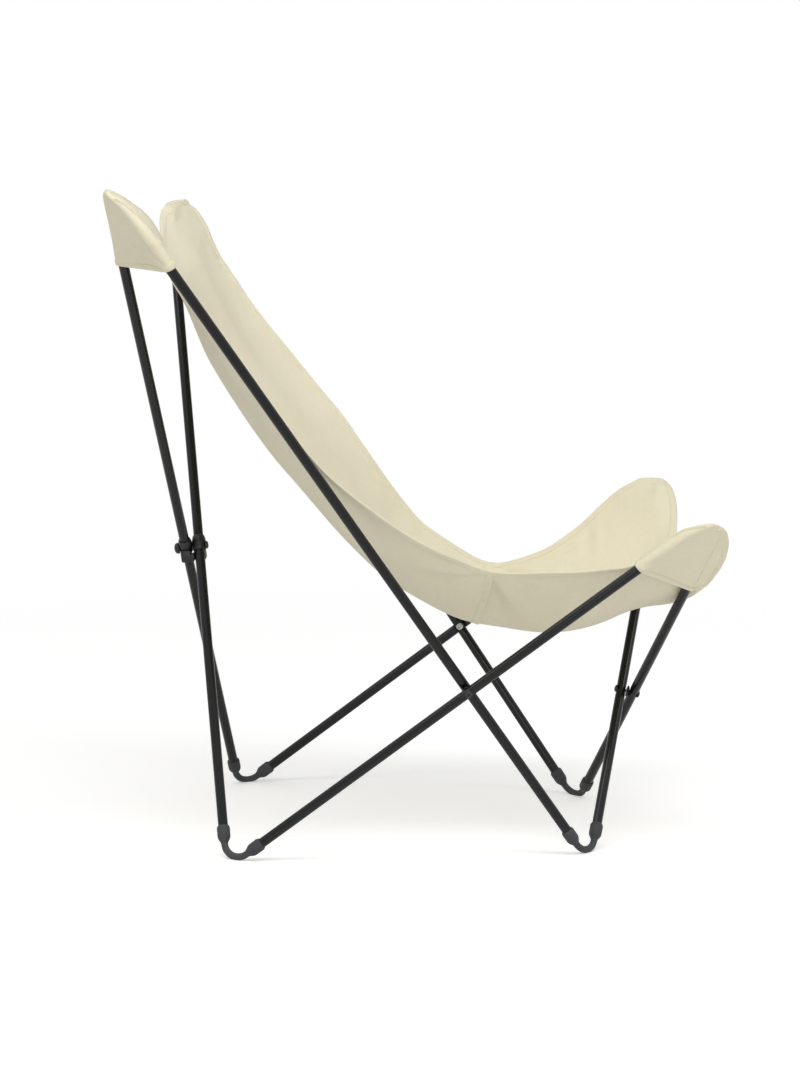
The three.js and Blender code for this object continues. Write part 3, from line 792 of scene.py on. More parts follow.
class FrameLines:
    """The tubes' lines and the crossings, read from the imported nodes."""

    def __init__(self) -> None:
        """Reads the eight tubes and the four crossings."""
        self.long = {side: TubeLine.of_node(f"long_side_tube_{side.word}") for side in Side}
        self.short = {side: TubeLine.of_node(f"short_side_tube_{side.word}") for side in Side}
        layers = {Side.RIGHT: "outer", Side.LEFT: "inner"}
        self.back = {side: TubeLine.of_node(f"back_tube_{layer}") for side, layer in layers.items()}
        self.front = {side: TubeLine.of_node(f"front_tube_{layer}") for side, layer in layers.items()}
        self.side_pin = {side: node_centre(f"{side.word}_side_rivet") for side in Side}
        self.back_pin = self.crossing(self.back[Side.LEFT], self.back[Side.RIGHT])
        self.front_pin = self.crossing(self.front[Side.LEFT], self.front[Side.RIGHT])

    @staticmethod
    def crossing(first: TubeLine, second: TubeLine) -> Points:
        """The point halfway between two lines where they pass closest."""
        a, b = first.direction, second.direction
        span = second.bottom - first.bottom
        dot = float(a @ b)
        along_a = float(span @ a - (span @ b) * dot) / (1 - dot * dot)
        along_b = float((span @ a) * dot - span @ b) / (1 - dot * dot)
        return (first.bottom + a * along_a + second.bottom + b * along_b) / 2

    @staticmethod
    def pin_axis(first: TubeLine, second: TubeLine, toward: Points) -> Points:
        """The direction square to two tubes, on the side of a given vector."""
        axis = unit(np.cross(first.direction, second.direction))
        return axis if axis @ toward > 0 else -axis

    @property
    def tubes(self) -> list[TubeLine]:
        """All eight tubes."""
        return [line for family in (self.long, self.short, self.back, self.front) for line in family.values()]

    @staticmethod
    def apart(first: TubeLine, second: TubeLine, point: Points, axis: Points) -> float:
        """How far two tubes' lines are from each other along a pin."""
        return abs(float((first.nearest(point) - second.nearest(point)) @ axis))


@dataclass
class SteelTube:
    """A drawn steel tube with a turned lip at each end and a pressed seat at its pivot."""

    line: TubeLine
    pin: Points
    pin_axis: Points
    radius: float = 0.008
    wall: float = 0.0012
    lip: float = 0.0007
    bore_depth: float = 0.02
    seat_depth: float = 0.0007
    seat_reach: float = 0.009
    ring_gap: float = 0.0025
    seat_rings: float = 2.2
    sides: int = 48

    def heights(self) -> list[float]:
        """Where the rings stand along the tube: close together round the pivot."""
        middle = float((self.pin - self.line.bottom) @ self.line.direction)
        steps = int(self.seat_rings * self.seat_reach / self.ring_gap)
        near = [middle + step * self.ring_gap for step in range(-steps, steps + 1)]
        return [self.lip, *near, self.line.length - self.lip]

    def pressed(self, points: Points) -> Points:
        """Presses the two faces round the pivot a little flatter."""
        offset = points - self.pin
        across = offset @ self.pin_axis
        centre = float((self.line.nearest(self.pin) - self.pin) @ self.pin_axis)
        out = across - centre
        sideways = norm(offset - np.outer(across, self.pin_axis), axis=1)
        near = np.exp(-((sideways / self.seat_reach) ** 4))
        amount = self.seat_depth * near * (np.abs(out) / self.radius) ** 3
        return points - np.outer(np.sign(out) * amount, self.pin_axis)

    def build(self, finish: Material) -> None:
        """Makes the tube and sets it in place of its node."""
        side, other = square_frame(self.line.direction)
        bore, rim, top = self.radius - self.wall, self.radius - self.lip, self.line.length
        profile = [(bore, self.bore_depth), (bore, self.lip / 2), (rim, 0.0)]
        profile += [(self.radius, height) for height in self.heights()]
        profile += [(rim, top), (bore, top - self.lip / 2), (bore, top - self.bore_depth)]
        draft = Draft()
        draft.add_rings([
            self.pressed(ring(self.line.bottom + self.line.direction * height, side, other, radius, self.sides))
            for radius, height in profile
        ])
        draft.stand_in(self.line.node, "coated", "black_tube", [finish], 40)


@dataclass
class FlexFoot:
    """A moulded foot: two cups for the tubes' ends, joined by a bent rod that stands on the floor."""

    node: str
    first: TubeLine
    second: TubeLine
    rod_radius: float = 0.0055
    cup_radius: float = 0.01035
    mouth_radius: float = 0.0088
    bore_radius: float = 0.0082
    cup_length: float = 0.03
    tube_start: float = 0.0093
    bend_radius: float = 0.025
    rib_height: float = 0.0003
    sides: int = 32
    bend_steps: int = 22

    @property
    def profile(self) -> Profile:
        """Radius and height up a cup from where the bend ends, as shares of the cup's length."""
        rod, cup, mouth = self.rod_radius, self.cup_radius, self.mouth_radius
        return [
            (rod * 1.02, 0.02), (rod * 1.16, 0.10), (rod * 1.45, 0.19), (cup * 0.92, 0.28),
            (cup * 0.99, 0.36), (cup * 1.01, 0.48), (cup * 1.01, 0.62), (cup * 1.02, 0.76),
            (cup * 1.02, 0.86), (cup * 0.97, 0.93), (mouth * 1.01, 0.985), (mouth * 0.96, 1.0),
            (self.bore_radius, 0.99), (self.bore_radius, 0.8),
        ]

    def build(self, finish: Material) -> None:
        """Makes the foot as one bent skin."""
        lines = (self.first, self.second)
        ways = [line.direction for line in lines]
        starts = [line.bottom - way * self.tube_start for line, way in zip(lines, ways)]
        normal = unit(np.cross(*ways))
        bisector = unit(ways[0] + ways[1])
        turn = math.pi - 2 * math.acos(float(ways[0] @ bisector))
        inward = [unit(bisector - way * float(bisector @ way)) for way in ways]
        centre = np.mean([start + side * self.bend_radius for start, side in zip(starts, inward)], axis=0)
        cups = [
            [
                self.cup_ring(start + way * share * self.cup_length, way * sign, normal, radius)
                for radius, share in self.profile
            ]
            for start, way, sign in zip(starts, ways, (1, -1))
        ]
        bend = []
        for angle in turn * np.arange(self.bend_steps + 1) / self.bend_steps:
            arm = -inward[0] * math.cos(angle) - ways[0] * math.sin(angle)
            travel = inward[0] * math.sin(angle) - ways[0] * math.cos(angle)
            bend.append(self.cup_ring(centre + arm * self.bend_radius, -travel, normal, self.rod_radius))
        rings = cups[0][::-1] + bend + cups[1]
        for points in rings:
            points[:, 2] = np.maximum(points[:, 2], 0.0)
        draft = Draft()
        draft.add_rings(rings, (False, False))
        piece = draft.build(f"{self.node}_moulded", [finish], 50)
        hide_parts(self.node)
        bodies = [body_of(line.node) for line in lines]
        tuple(starts[0])
        tuple(starts[1])
        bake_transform(piece)
        log.info("%s bends between %s and %s", piece.name, *bodies)

    def cup_ring(self, centre: Points, way: Points, normal: Points, radius: float) -> Points:
        """A ring square to the foot's line, with the thin parting line of its mould.

        Args:
            centre: The middle of the ring.
            way: The direction of the line there.
            normal: The direction square to the foot's plane.
            radius: The ring's radius.

        Returns:
            The ring's points.
        """
        points = ring(centre, unit(np.cross(normal, way)), normal, radius, self.sides)
        for place in (0, self.sides // 2):
            points[place] += unit(points[place] - centre) * self.rib_height
        return points


@dataclass(frozen=True)
class RivetSize:
    """The size of a rolled rivet and its washers, and how it sits on a tube."""

    shank: float = 0.0025
    head_radius: float = 0.0055
    head_height: float = 0.0024
    washer_radius: float = 0.0066
    washer_height: float = 0.0009
    gap: float = 0.0003
    tube_radius: float = 0.008
    seat_depth: float = 0.0006
    sides: int = 32

    def head(self, base: float) -> Profile:
        """A rolled head with a dimple in its middle, from the outside in."""
        shares = [
            (1.0, 0.0), (1.03, 0.25), (0.97, 0.6), (0.8, 0.9), (0.62, 1.0), (0.46, 0.92), (0.36, 0.6),
            (0.3, 0.25), (0.05, 0.2),
        ]
        return [(self.head_radius * wide, base + self.head_height * high) for wide, high in shares]

    def add_end(self, draft: Draft, point: Points, axis: Points, washer: Profile, finish: int = 0) -> None:
        """Adds a washer and, on top of it, a rolled head."""
        draft.add_turned(point, axis, washer, self.sides)
        draft.add_turned(point, axis, self.head(washer[-1][1]), self.sides, material=finish)


@dataclass
class SideCrossing:
    """The rivet and spacer where a long and a short side tube cross."""

    side: Side
    lines: FrameLines
    size: RivetSize = RivetSize()
    spacer_radius: float = 0.007
    spacer_ease: float = 0.2

    def build(self, finishes: Finishes) -> None:
        """Makes the rivet and the spacer."""
        size, word = self.size, self.side.word
        long, short = self.lines.long[self.side], self.lines.short[self.side]
        point = self.lines.side_pin[self.side]
        axis = self.lines.pin_axis(long, short, -self.side.value * ACROSS)
        apart = self.lines.apart(long, short, point, axis)
        reach = apart / 2 + size.tube_radius - size.seat_depth
        base, wide = reach + size.washer_height, size.washer_radius
        rivet = Draft()
        rivet.add_turned(point, axis, [(size.shank, -reach), (size.shank, reach)], size.sides)
        washer = [
            (size.shank, reach), (wide * 0.95, reach), (wide, reach + size.washer_height * 0.4),
            (wide * 0.94, base), (size.shank, base),
        ]
        for sign, tail in ((1, 0), (-1, 1)):
            size.add_end(rivet, point, axis * sign, washer, tail)
        plated = [finishes.hardware, finishes.plate]
        rivet.stand_in(f"{word}_side_rivet", "rolled", "black_hardware", plated, 45)
        half = apart / 2 - size.tube_radius + size.seat_depth - size.gap
        radius, ease = self.spacer_radius, 2 * half * self.spacer_ease
        profile = [
            (size.shank, -half), (radius - ease, -half), (radius, -half + ease), (radius, half - ease),
            (radius - ease, half), (size.shank, half),
        ]
        spacer = Draft()
        spacer.add_turned(point, axis, profile, size.sides)
        spacer.stand_in(f"{word}_side_spacer", "eased", "black_hardware", [finishes.plastic], 45)


@dataclass
class FrontCrossing:
    """The rivet in two halves and the spacer where the front tubes cross."""

    lines: FrameLines
    size: RivetSize = RivetSize()
    clearance: float = 0.0014
    spacer_radius: float = 0.0075
    collar_radius: float = 0.0092
    collar_share: float = 0.4

    def build(self, finishes: Finishes) -> None:
        """Makes the two halves of the rivet and the spacer between the tubes."""
        size, point = self.size, self.lines.front_pin
        inner, outer = self.lines.front[Side.LEFT], self.lines.front[Side.RIGHT]
        axis = self.lines.pin_axis(inner, outer, -BACKWARD)
        apart = self.lines.apart(inner, outer, point, axis)
        reach = apart / 2 + size.tube_radius - size.seat_depth
        half = apart / 2 - size.tube_radius
        base, wide = reach + size.washer_height, size.washer_radius
        washer = [(size.shank, reach), (wide, reach), (wide * 0.96, base), (size.shank, base)]
        for node, sign, start in (("front_rivet", 1, self.clearance - half), ("front_rivet_tail", -1, half)):
            draft = Draft()
            draft.add_turned(point, axis * sign, [(size.shank, start), (size.shank, base)], size.sides)
            size.add_end(draft, point, axis * sign, washer)
            draft.stand_in(node, "rolled", "black_hardware", [finishes.hardware], 45)
        low, high = -half + self.clearance, half - size.gap
        profile = [
            (size.shank, low), (self.spacer_radius, low), (self.collar_radius, low * self.collar_share),
            (self.collar_radius, high * self.collar_share), (self.spacer_radius, high), (size.shank, high),
        ]
        spacer = Draft()
        spacer.add_turned(point, axis, profile, size.sides)
        spacer.stand_in("front_spacer", "eased", "black_hardware", [finishes.plastic], 45)


@dataclass
class BackHinge:
    """The moulded hinge where the back tubes cross: two halves, a pin and a domed knob."""

    lines: FrameLines
    sleeve_radius: float = 0.0107
    sleeve_above: float = 0.017
    sleeve_below: float = 0.008
    root_box: tuple[float, ...] = (-0.013, 0.0034, -0.023, 0.0092, 0.0202, -0.004)
    tongue_box: tuple[float, ...] = (-0.013, -0.0019, -0.023, -0.00018, 0.0052, -0.010)
    edge: float = 0.0022
    corner_steps: int = 3
    knob_radius: float = 0.009
    knob_height: float = 0.008
    knob_rim: float = 0.0008
    head_radius: float = 0.0065
    head_height: float = 0.004
    pin_radius: float = 0.003
    tube_radius: float = 0.008
    gap: float = 0.0004
    sides: int = 40

    def build(self, finishes: Finishes) -> None:
        """Makes the four pieces of the hinge."""
        outer, inner = self.lines.back[Side.RIGHT], self.lines.back[Side.LEFT]
        point = self.lines.back_pin
        axis = self.lines.pin_axis(outer, inner, BACKWARD)
        across = unit(ACROSS - axis * axis[0])
        basis = np.array([across, axis, np.cross(across, axis)])
        for node, line, sign in (("back_hinge_outer_half", outer, 1), ("back_hinge_inner_half", inner, -1)):
            self.half(node, line, sign, point, basis, finishes)
        seat = self.lines.apart(outer, inner, point, axis) / 2 + self.sleeve_radius + self.gap
        head = [(self.pin_radius * 0.05, -seat - self.head_height)]
        for wide, high in ((0.55, 0.97), (0.85, 0.75), (1.0, 0.4), (0.98, 0.0)):
            head.append((self.head_radius * wide, -seat - self.head_height * high))
        shaft = [(self.pin_radius, -seat), (self.pin_radius, seat + self.knob_height / 2)]
        pin = Draft()
        pin.add_turned(point, axis, head + shaft, self.sides)
        pin.stand_in("back_hinge_pin", "turned", "black_hardware", [finishes.hardware], 40)
        dome = [(self.pin_radius + self.gap, seat), (self.knob_radius * 0.93, seat)]
        dome.append((self.knob_radius, seat + self.knob_rim))
        curve = ((1.0, 0.38), (0.96, 0.55), (0.86, 0.72), (0.7, 0.86), (0.48, 0.95), (0.24, 0.99), (0.02, 1.0))
        dome += [(self.knob_radius * wide, seat + self.knob_height * high) for wide, high in curve]
        knob = Draft()
        knob.add_turned(point, axis, dome, self.sides, (False, True))
        knob.stand_in("back_hinge_knob", "domed", "black_hardware", [finishes.plastic], 40)

    def half(
        self, node: str, line: TubeLine, sign: int, point: Points, basis: Points, finishes: Finishes
    ) -> None:
        """Makes one half: a shouldered sleeve round its tube, a stop block and a tongue.

        Args:
            node: The node that it stands for.
            line: The tube that it holds.
            sign: 1 for the rear half and -1 for the front one.
            point: The middle of the crossing.
            basis: The directions across, along the pin and upright.
            finishes: The chair's finishes.
        """
        draft = Draft()
        bore, outer, below = self.tube_radius + self.gap / 2, self.sleeve_radius, self.sleeve_below
        profile = [
            (bore, -below), (outer * 0.93, -below), (outer, -below * 0.8), (outer, 0.0), (outer * 1.06, 0.004),
            (outer * 1.06, 0.009), (outer, 0.0125), (outer * 0.93, 0.0155), (outer * 0.86, self.sleeve_above),
            (bore, self.sleeve_above),
        ]
        draft.add_turned(line.nearest(point), line.direction, profile, self.sides, (False, False))
        for box in (self.root_box, self.tongue_box):
            rings = self.rounded_box(np.array(box[:3]), np.array(box[3:]))
            draft.add_rings([point + (level * (sign, sign, 1)) @ basis for level in rings])
        draft.stand_in(node, "moulded", "black_plastic", [finishes.plastic], 35)

    def rounded_box(self, low: Points, high: Points) -> list[Points]:
        """The outline of a box with eased edges.

        Args:
            low: Its lowest corner.
            high: Its highest corner.

        Returns:
            Four rings of points, from the bottom up.
        """
        tall = high[2] - low[2]
        ease = min(self.edge, 0.35 * float((high - low).min()))
        rings = []
        for height, inset in ((0.0, ease), (ease, 0.0), (tall - ease, 0.0), (tall, ease)):
            reach = max(ease - inset * 0.7, 0.0)
            points = []
            for sx, sy, start in ((1, 1, 0), (-1, 1, 90), (-1, -1, 180), (1, -1, 270)):
                x = (high[0] if sx > 0 else low[0]) - sx * ease
                y = (high[1] if sy > 0 else low[1]) - sy * ease
                for angle in np.radians(start + 45 * np.arange(self.corner_steps)):
                    points.append([x + reach * math.cos(angle), y + reach * math.sin(angle), low[2] + height])
            rings.append(np.array(points))
        return rings


# The canvas sling


HEM_SHARES = {
    Side.RIGHT: {
        "long": [
            (1.11, 0.28, 0.30, 0.10), (1.05, 0.06, 0.13, 0.03), (0.95, 0.06, -0.13, 0.10),
            (0.76, 0.06, -0.14, 0.11), (0.54, 0.03, -0.19, 0.14), (0.45, 0.04, -0.27, 0.20),
            (0.32, 0.14, -0.46, 0.35), (0.23, 0.33, -0.68, 0.53),
        ],
        "short": [
            (0.355, 0.59, 0.75, 0.98), (0.575, 0.50, 0.36, 0.47), (0.72, 0.31, 0.19, 0.25),
            (0.84, 0.14, 0.11, 0.13), (1.0, 0.06, 0.10, 0.12), (1.13, 0.03, 0.02, 0.02),
        ],
    },
    Side.LEFT: {
        "long": [
            (1.04, 0.00, 0.03, 0.02), (0.985, 0.04, -0.11, 0.09), (0.90, 0.05, -0.15, 0.11),
            (0.76, 0.03, -0.25, 0.16), (0.53, 0.00, -0.31, 0.20), (0.41, 0.00, -0.31, 0.21),
            (0.28, 0.02, -0.32, 0.23), (0.19, 0.10, -0.39, 0.30),
        ],
        "short": [
            (0.28, 0.54, 0.40, 0.53), (0.46, 0.50, 0.19, 0.27), (0.65, 0.28, 0.15, 0.20),
            (0.80, 0.14, 0.13, 0.17), (0.98, 0.06, 0.11, 0.13), (1.10, 0.03, 0.02, 0.02),
        ],
    },
}
MIDDLE_SHARES = [
    (-0.10, 0.45), (0.00, 0.42), (0.16, 0.28), (0.36, 0.22), (0.48, 0.15), (0.46, 0.16), (0.41, 0.23),
    (0.34, 0.30), (0.13, 0.43), (0.06, 0.54), (0.03, 0.63), (0.00, 0.67), (0.03, 0.73), (0.10, 0.74),
]
HEM_SHIFT_PLACES = [
    0, 0.3, 0.6, 0.9, 1.2, 1.6, 2, 2.5, 3, 3.6, 4.3, 5, 5.8, 6.6, 7.4, 8, 8.8, 9.6, 10.4, 10.9, 11.4, 11.8,
    12.2, 12.5, 12.75, 13,
]
HEM_SHIFTS = {
    Side.RIGHT: [
        (0, 6.6, 2.8), (0, -6.8, 6.5), (0, -11.7, 5.5), (0, -17.7, 3.9), (0, -16, 0.2),
        (0, 0.2, 2.5), (1, 30.4, 13.1), (5, 12.7, -9), (9, 11.7, -8.3), (9, 13.1, -9.5),
        (6, 11.6, -9.7), (3, 7.5, -8.7), (0, 1, -1.4), (0, -0.7, 1.2), (0, -1.5, 4.5),
        (0, -0.5, 1.3), (0, -0.1, 3.6), (0, 0, -0.1), (0, -0.5, -3.5), (0, -17.1, -5.8),
        (0, -4.3, -3.2), (0, -4.4, -4.2), (0, -0.2, -2.6), (0, -8.9, 2.7), (0, -16.1, 10.5),
        (0, -37.7, 1.5),
    ],
    Side.LEFT: [
        (-12, -13.2, -20.3), (-8, -14.5, -8.9), (-4, -13.7, -7.2), (-2, -11.9, -7.8),
        (-0.5, -7.8, -11.8), (0, 3.8, 6.3), (0, 9.9, -6.5), (-3, 12.9, -8.4), (-3, 19.1, -13),
        (-1, 11.6, -10.3), (0, 4.4, -3.1), (0, 3.8, -2.7), (0, 2.4, -1.7), (0, 0.6, -0.5),
        (0, -2.7, 5.4), (0, -0.1, 0.2), (0, 0.2, 0.9), (0, -2.4, -3.4), (0, -2.1, -2.5),
        (0, -2.6, 5.5), (0, 11.7, -2.5), (0, 17.5, -4.4), (-2, 23.2, -3), (-4, 15.7, -0.6),
        (-8, 7.1, 11.7), (-12, -9.6, -10.3),
    ],
}
END_SHIFT_PLACES = [
    0, 0.03, 0.06, 0.09, 0.12, 0.16, 0.2, 0.26, 0.33, 0.42, 0.5, 0.58, 0.67, 0.74, 0.8, 0.84, 0.88, 0.91,
    0.94, 0.97, 1,
]
END_SHIFTS = {
    ClothEnd.BACK: [
        (0, 6.6, 2.8), (0, 5.7, 14.5), (0, -2.2, 16.5), (0, -11.7, 16.3), (0, -18.7, 15.1),
        (0, -28.5, 13.3), (0, -35, 8.9), (0, -38.7, -1.3), (0, -32.8, -4.9), (0, -21.8, -4.4),
        (0, -14.8, -2.2), (0, -11.5, -12.5), (0, -5.9, -22.1), (-6, 0.2, -21.8),
        (-16, 5.5, -14.8), (-24, 8.5, -6.9), (-29, 9.2, -3.5), (-30, 7.4, -1.8),
        (-27, 3.7, -4), (-20, -3, -8.7), (-12, -13.2, -20.3),
    ],
    ClothEnd.FRONT: [
        (0, -37.7, 1.5), (0, -60.3, 7.9), (0, -69.2, 2), (0, -72.5, -6.1), (0, -69.1, -18.7),
        (0, -61.8, -25.4), (0, -50.6, -34.2), (0, -35.7, -36.7), (0, -25, -31.2),
        (0, -21.8, -18.2), (0, -24.6, -2), (0, -25.8, -8.8), (0, -26.3, -18),
        (-12, -25.5, -16.8), (-26, -26.4, -14.1), (-34, -28.4, -9.7), (-38, -30, -9.1),
        (-37, -30.2, -3.3), (-31, -27.7, -2.9), (-22, -23.3, -1.9), (-12, -9.6, -10.3),
    ],
}


@dataclass
class ClothCorner:
    """A corner of the sling, where it lies over the tops of two tubes."""

    side: Side
    end: ClothEnd
    side_tube: TubeLine
    cross_tube: TubeLine
    depth: float
    head: float = 0.007

    @property
    def ends(self) -> list[Points]:
        """Where the two tubes end inside the pocket, with a little room."""
        return [line.top + line.direction * self.head for line in (self.side_tube, self.cross_tube)]

    @property
    def normal(self) -> Points:
        """The direction square to the two tubes, upward."""
        ends = self.ends
        normal = unit(np.cross(ends[1] - ends[0], self.side_tube.direction + self.cross_tube.direction))
        return normal if normal[2] > 0 else -normal


class SlingShape:
    """The curved surface of the canvas, from 0 at the right hem to 1 at the left."""

    hem_reach = 0.1
    sag = 0.2
    roundness = 2.3
    edge_roundness = 1.35
    edge_stations = 3
    seam_station = 8
    last_station = 13
    drape_height = 0.0112
    hull_radius = 0.0102
    flank_share = 0.25
    drape_reach = 0.08
    flap_bend = 0.005
    seat_bend = 0.24
    back_pocket_depth = 0.042
    front_pocket_depth = 0.066
    end_fade = 1.9
    hem_fade = 0.24
    fade_from = 0.65
    table_ease = 0.016
    hem_calm = 0.08
    end_calm = 2.2
    fan_height = 0.0052
    swell_height = 0.0046
    dimple_height = 0.0016

    def __init__(self, lines: FrameLines) -> None:
        """Sets the hems along the tubes and the middle line below them."""
        self.lines = lines
        self.hems = {side: self.hem(side) for side in Side}
        self.axis_x = float(lines.back_pin[0])
        shares = np.array(MIDDLE_SHARES)
        middle = (self.hems[Side.RIGHT].points + self.hems[Side.LEFT].points) / 2
        middle[:, 0] = self.axis_x
        middle[:, 1] += shares[:, 0] * self.sag
        middle[:, 2] -= shares[:, 1] * self.sag
        self.middle = CatmullLine(middle)
        self.corners = [self.corner(side, end) for end in ClothEnd for side in Side]

    def hem(self, side: Side) -> CatmullLine:
        """The line of one hem, from its shares of the side tubes."""
        families = {"long": self.lines.long[side], "short": self.lines.short[side]}
        points = []
        for kind, line in families.items():
            crossing = line.nearest(self.lines.side_pin[side])
            for share, inward, backward, upward in HEM_SHARES[side][kind]:
                offset = np.array([side.value * inward, backward, upward]) * self.hem_reach
                points.append(crossing + share * (line.top - crossing) + offset)
        return CatmullLine(np.array(points))

    def corner(self, side: Side, end: ClothEnd) -> ClothCorner:
        """One corner with its two tubes."""
        back = end is ClothEnd.BACK
        side_tube = (self.lines.long if back else self.lines.short)[side]
        cross_tube = (self.lines.back if back else self.lines.front)[side]
        depth = self.back_pocket_depth if back else self.front_pocket_depth
        return ClothCorner(side, end, side_tube, cross_tube, depth)

    @staticmethod
    def nearest_offset(
        points: Points, pieces: Pairs, heights: list[tuple[float, float]]
    ) -> tuple[Points, Points]:
        """The step from the nearest of some straight pieces to each point.

        Args:
            points: The points, moved into the corner's plane.
            pieces: The ends of the pieces, moved into that plane.
            heights: How high each end really stands off the plane.

        Returns:
            The steps, and the height of the piece at its nearest place.
        """
        steps, bases = [], []
        for (start, end), (first, second) in zip(pieces, heights):
            span = end - start
            share = np.clip((points - start) @ span / float(span @ span), 0, 1)
            steps.append(points - start - share[..., None] * span)
            bases.append(first + share * (second - first))
        lengths = norm(steps, axis=-1)
        best = np.argmin(lengths, axis=0)[None]
        step = np.take_along_axis(np.array(steps), best[..., None], axis=0)[0]
        return step, np.take_along_axis(np.array(bases), best, axis=0)[0]

    def draped(self, points: Points, corner: ClothCorner) -> Points:
        """Lifts the cloth near a corner until it lies over the two tubes."""
        normal, ends = corner.normal, corner.ends
        height = (points - ends[0]) @ normal
        flat = points - height[..., None] * normal
        ways = [corner.side_tube.direction, corner.cross_tube.direction]
        lines = [(end, end - 2 * corner.depth * way) for end, way in zip(ends, ways)]
        for share in (0, 0.5, 1):
            lines.append(tuple(end - share * corner.depth * way for end, way in zip(ends, ways)))
        heights = [tuple(float((end - ends[0]) @ normal) for end in line) for line in lines]
        pieces = [
            tuple(end - rise * normal for end, rise in zip(line, rises)) for line, rises in zip(lines, heights)
        ]
        step, base = self.nearest_offset(flat, pieces, heights)
        distance = norm(step, axis=-1)
        outside = np.maximum(0, distance - self.hull_radius)
        seatward = units(step) @ -unit(ways[0] + ways[1])
        inner = smooth_step((seatward + self.flank_share) / (2 * self.flank_share))
        bend = self.flap_bend + (self.seat_bend - self.flap_bend) * inner
        wanted = base + self.drape_height - outside**2 / (2 * bend)
        fade = 1 - smooth_step((outside / self.drape_reach - self.fade_from) / (1 - self.fade_from))
        lift = np.maximum(wanted - height, 0) * fade
        return points + lift[..., None] * normal

    def folds(self, reach: Points, station: Points, points: Points) -> Points:
        """How far the cloth stands off its plain shape.

        Args:
            reach: From -1 at the right hem to 1 at the left.
            station: The place along the sling.
            points: The plain surface.

        Returns:
            A height in metres for each point, upward.
        """
        wide = np.abs(reach)
        height = np.zeros_like(reach)
        for side in Side:
            mine = np.where(reach * -side.value > 0, 1.0, 0.0)
            hem = np.array([float(side is Side.LEFT)])
            offset = points - self.surface(hem, np.array([float(self.seam_station)]))[0]
            distance = norm(offset, axis=-1)
            angle = np.arctan2(offset[..., 1], np.hypot(offset[..., 0], offset[..., 2]))
            rise = smooth_step(distance / 0.07) * bump(distance, 0.0, 0.2)
            fan = np.cos(5.2 * angle + 0.5) + 0.6 * np.cos(9.5 * angle + 1.1 * side.value)
            height += mine * self.fan_height * rise * fan
        swells = (
            (1.0, wide, 0.62, 0.12, 3.2, 2.0), (-0.8, wide, 0.38, 0.12, 3.6, 2.2),
            (0.7, reach, 0.12, 0.1, 2.6, 1.6), (-0.7, reach, -0.14, 0.09, 4.4, 1.8),
        )
        for share, place, centre, width, middle, length in swells:
            hill = bump(place, centre, width) * bump(station, middle, length)
            height += self.swell_height * share * hill
        for rate, lean, centre, middle, length in ((7.5, 2.0, 0.86, 6.4, 1.5), (9.0, -3.0, 0.84, 10.2, 1.2)):
            hill = bump(wide, centre, 0.1) * bump(station, middle, length)
            height += self.dimple_height * np.sin(station * rate + lean * reach) * hill
        return height

    def plain(self, across: Points, station: Points) -> Points:
        """The sling's shape before it is draped and folded."""
        share = station / self.last_station
        reach = 2 * across - 1
        wide = np.abs(reach)
        right = self.hems[Side.RIGHT].at(share)
        left = self.hems[Side.LEFT].at(share)
        hem = np.where((reach < 0)[..., None], right, left)
        middle = self.middle.at(share)
        edge = np.maximum(0, 1 - np.minimum(station, self.last_station - station) / self.edge_stations)
        lift = wide ** (self.roundness + (self.edge_roundness - self.roundness) * edge)
        x = self.axis_x + (hem[..., 0] - self.axis_x) * wide
        y = middle[..., 1] + (hem[..., 1] - middle[..., 1]) * lift
        z = middle[..., 2] + (hem[..., 2] - middle[..., 2]) * lift
        return np.stack([x, y, z], axis=-1) + self.edge_shift(across, station)

    def edge_shift(self, across: Points, station: Points) -> Points:
        """How far the edges, and the cloth beside them, stand from the plain shape.

        Args:
            across: Places from the right hem to the left one.
            station: Places along the sling.

        Returns:
            A shift in metres for each point.
        """
        from_end = {ClothEnd.BACK: station, ClothEnd.FRONT: self.last_station - station}
        from_hem = {Side.RIGHT: across, Side.LEFT: 1 - across}
        fade_end = {end: 1 - smooth_step(place / self.end_fade) for end, place in from_end.items()}
        fade_hem = {side: 1 - smooth_step(place / self.hem_fade) for side, place in from_hem.items()}
        total = np.zeros((*station.shape, 3))
        for side in Side:
            total += self.spread(station, HEM_SHIFT_PLACES, HEM_SHIFTS[side]) * fade_hem[side][..., None]
        for end in ClothEnd:
            total += self.spread(across, END_SHIFT_PLACES, END_SHIFTS[end]) * fade_end[end][..., None]
            for side in Side:
                corner = np.array(HEM_SHIFTS[side][-end.value]) / 1000
                total -= corner * (fade_hem[side] * fade_end[end])[..., None]
        return total

    def spread(self, place: Points, places: list[float], shifts: list[Triple]) -> Points:
        """The shifts between their places along an edge, from millimetres, with their corners eased."""
        table = np.array(shifts) / 1000
        ease = self.table_ease * places[-1]
        near = [np.clip(place + ease * step, 0, places[-1]) for step in (-1, 0, 1)]
        columns = [sum(np.interp(spot, places, table[:, k]) for spot in near) / 3 for k in range(3)]
        return np.stack(columns, axis=-1)

    def surface(self, across: Points, station: Points) -> Points:
        """Points of the sling without its small folds."""
        points = self.plain(across, station)
        for corner in self.corners:
            points = self.draped(points, corner)
        return points

    def at(self, across: Points, station: Points) -> Points:
        """Points of the finished surface."""
        across, station = np.broadcast_arrays(np.asarray(across, float), np.asarray(station, float))
        points = self.surface(across, station)
        reach = 2 * across - 1
        calm = smooth_step((1 - np.abs(reach)) / self.hem_calm)
        calm = calm * smooth_step(np.minimum(station, self.last_station - station) / self.end_calm)
        height = self.folds(reach, station, points) * calm
        return points + height[..., None] * self.normals(across, station)

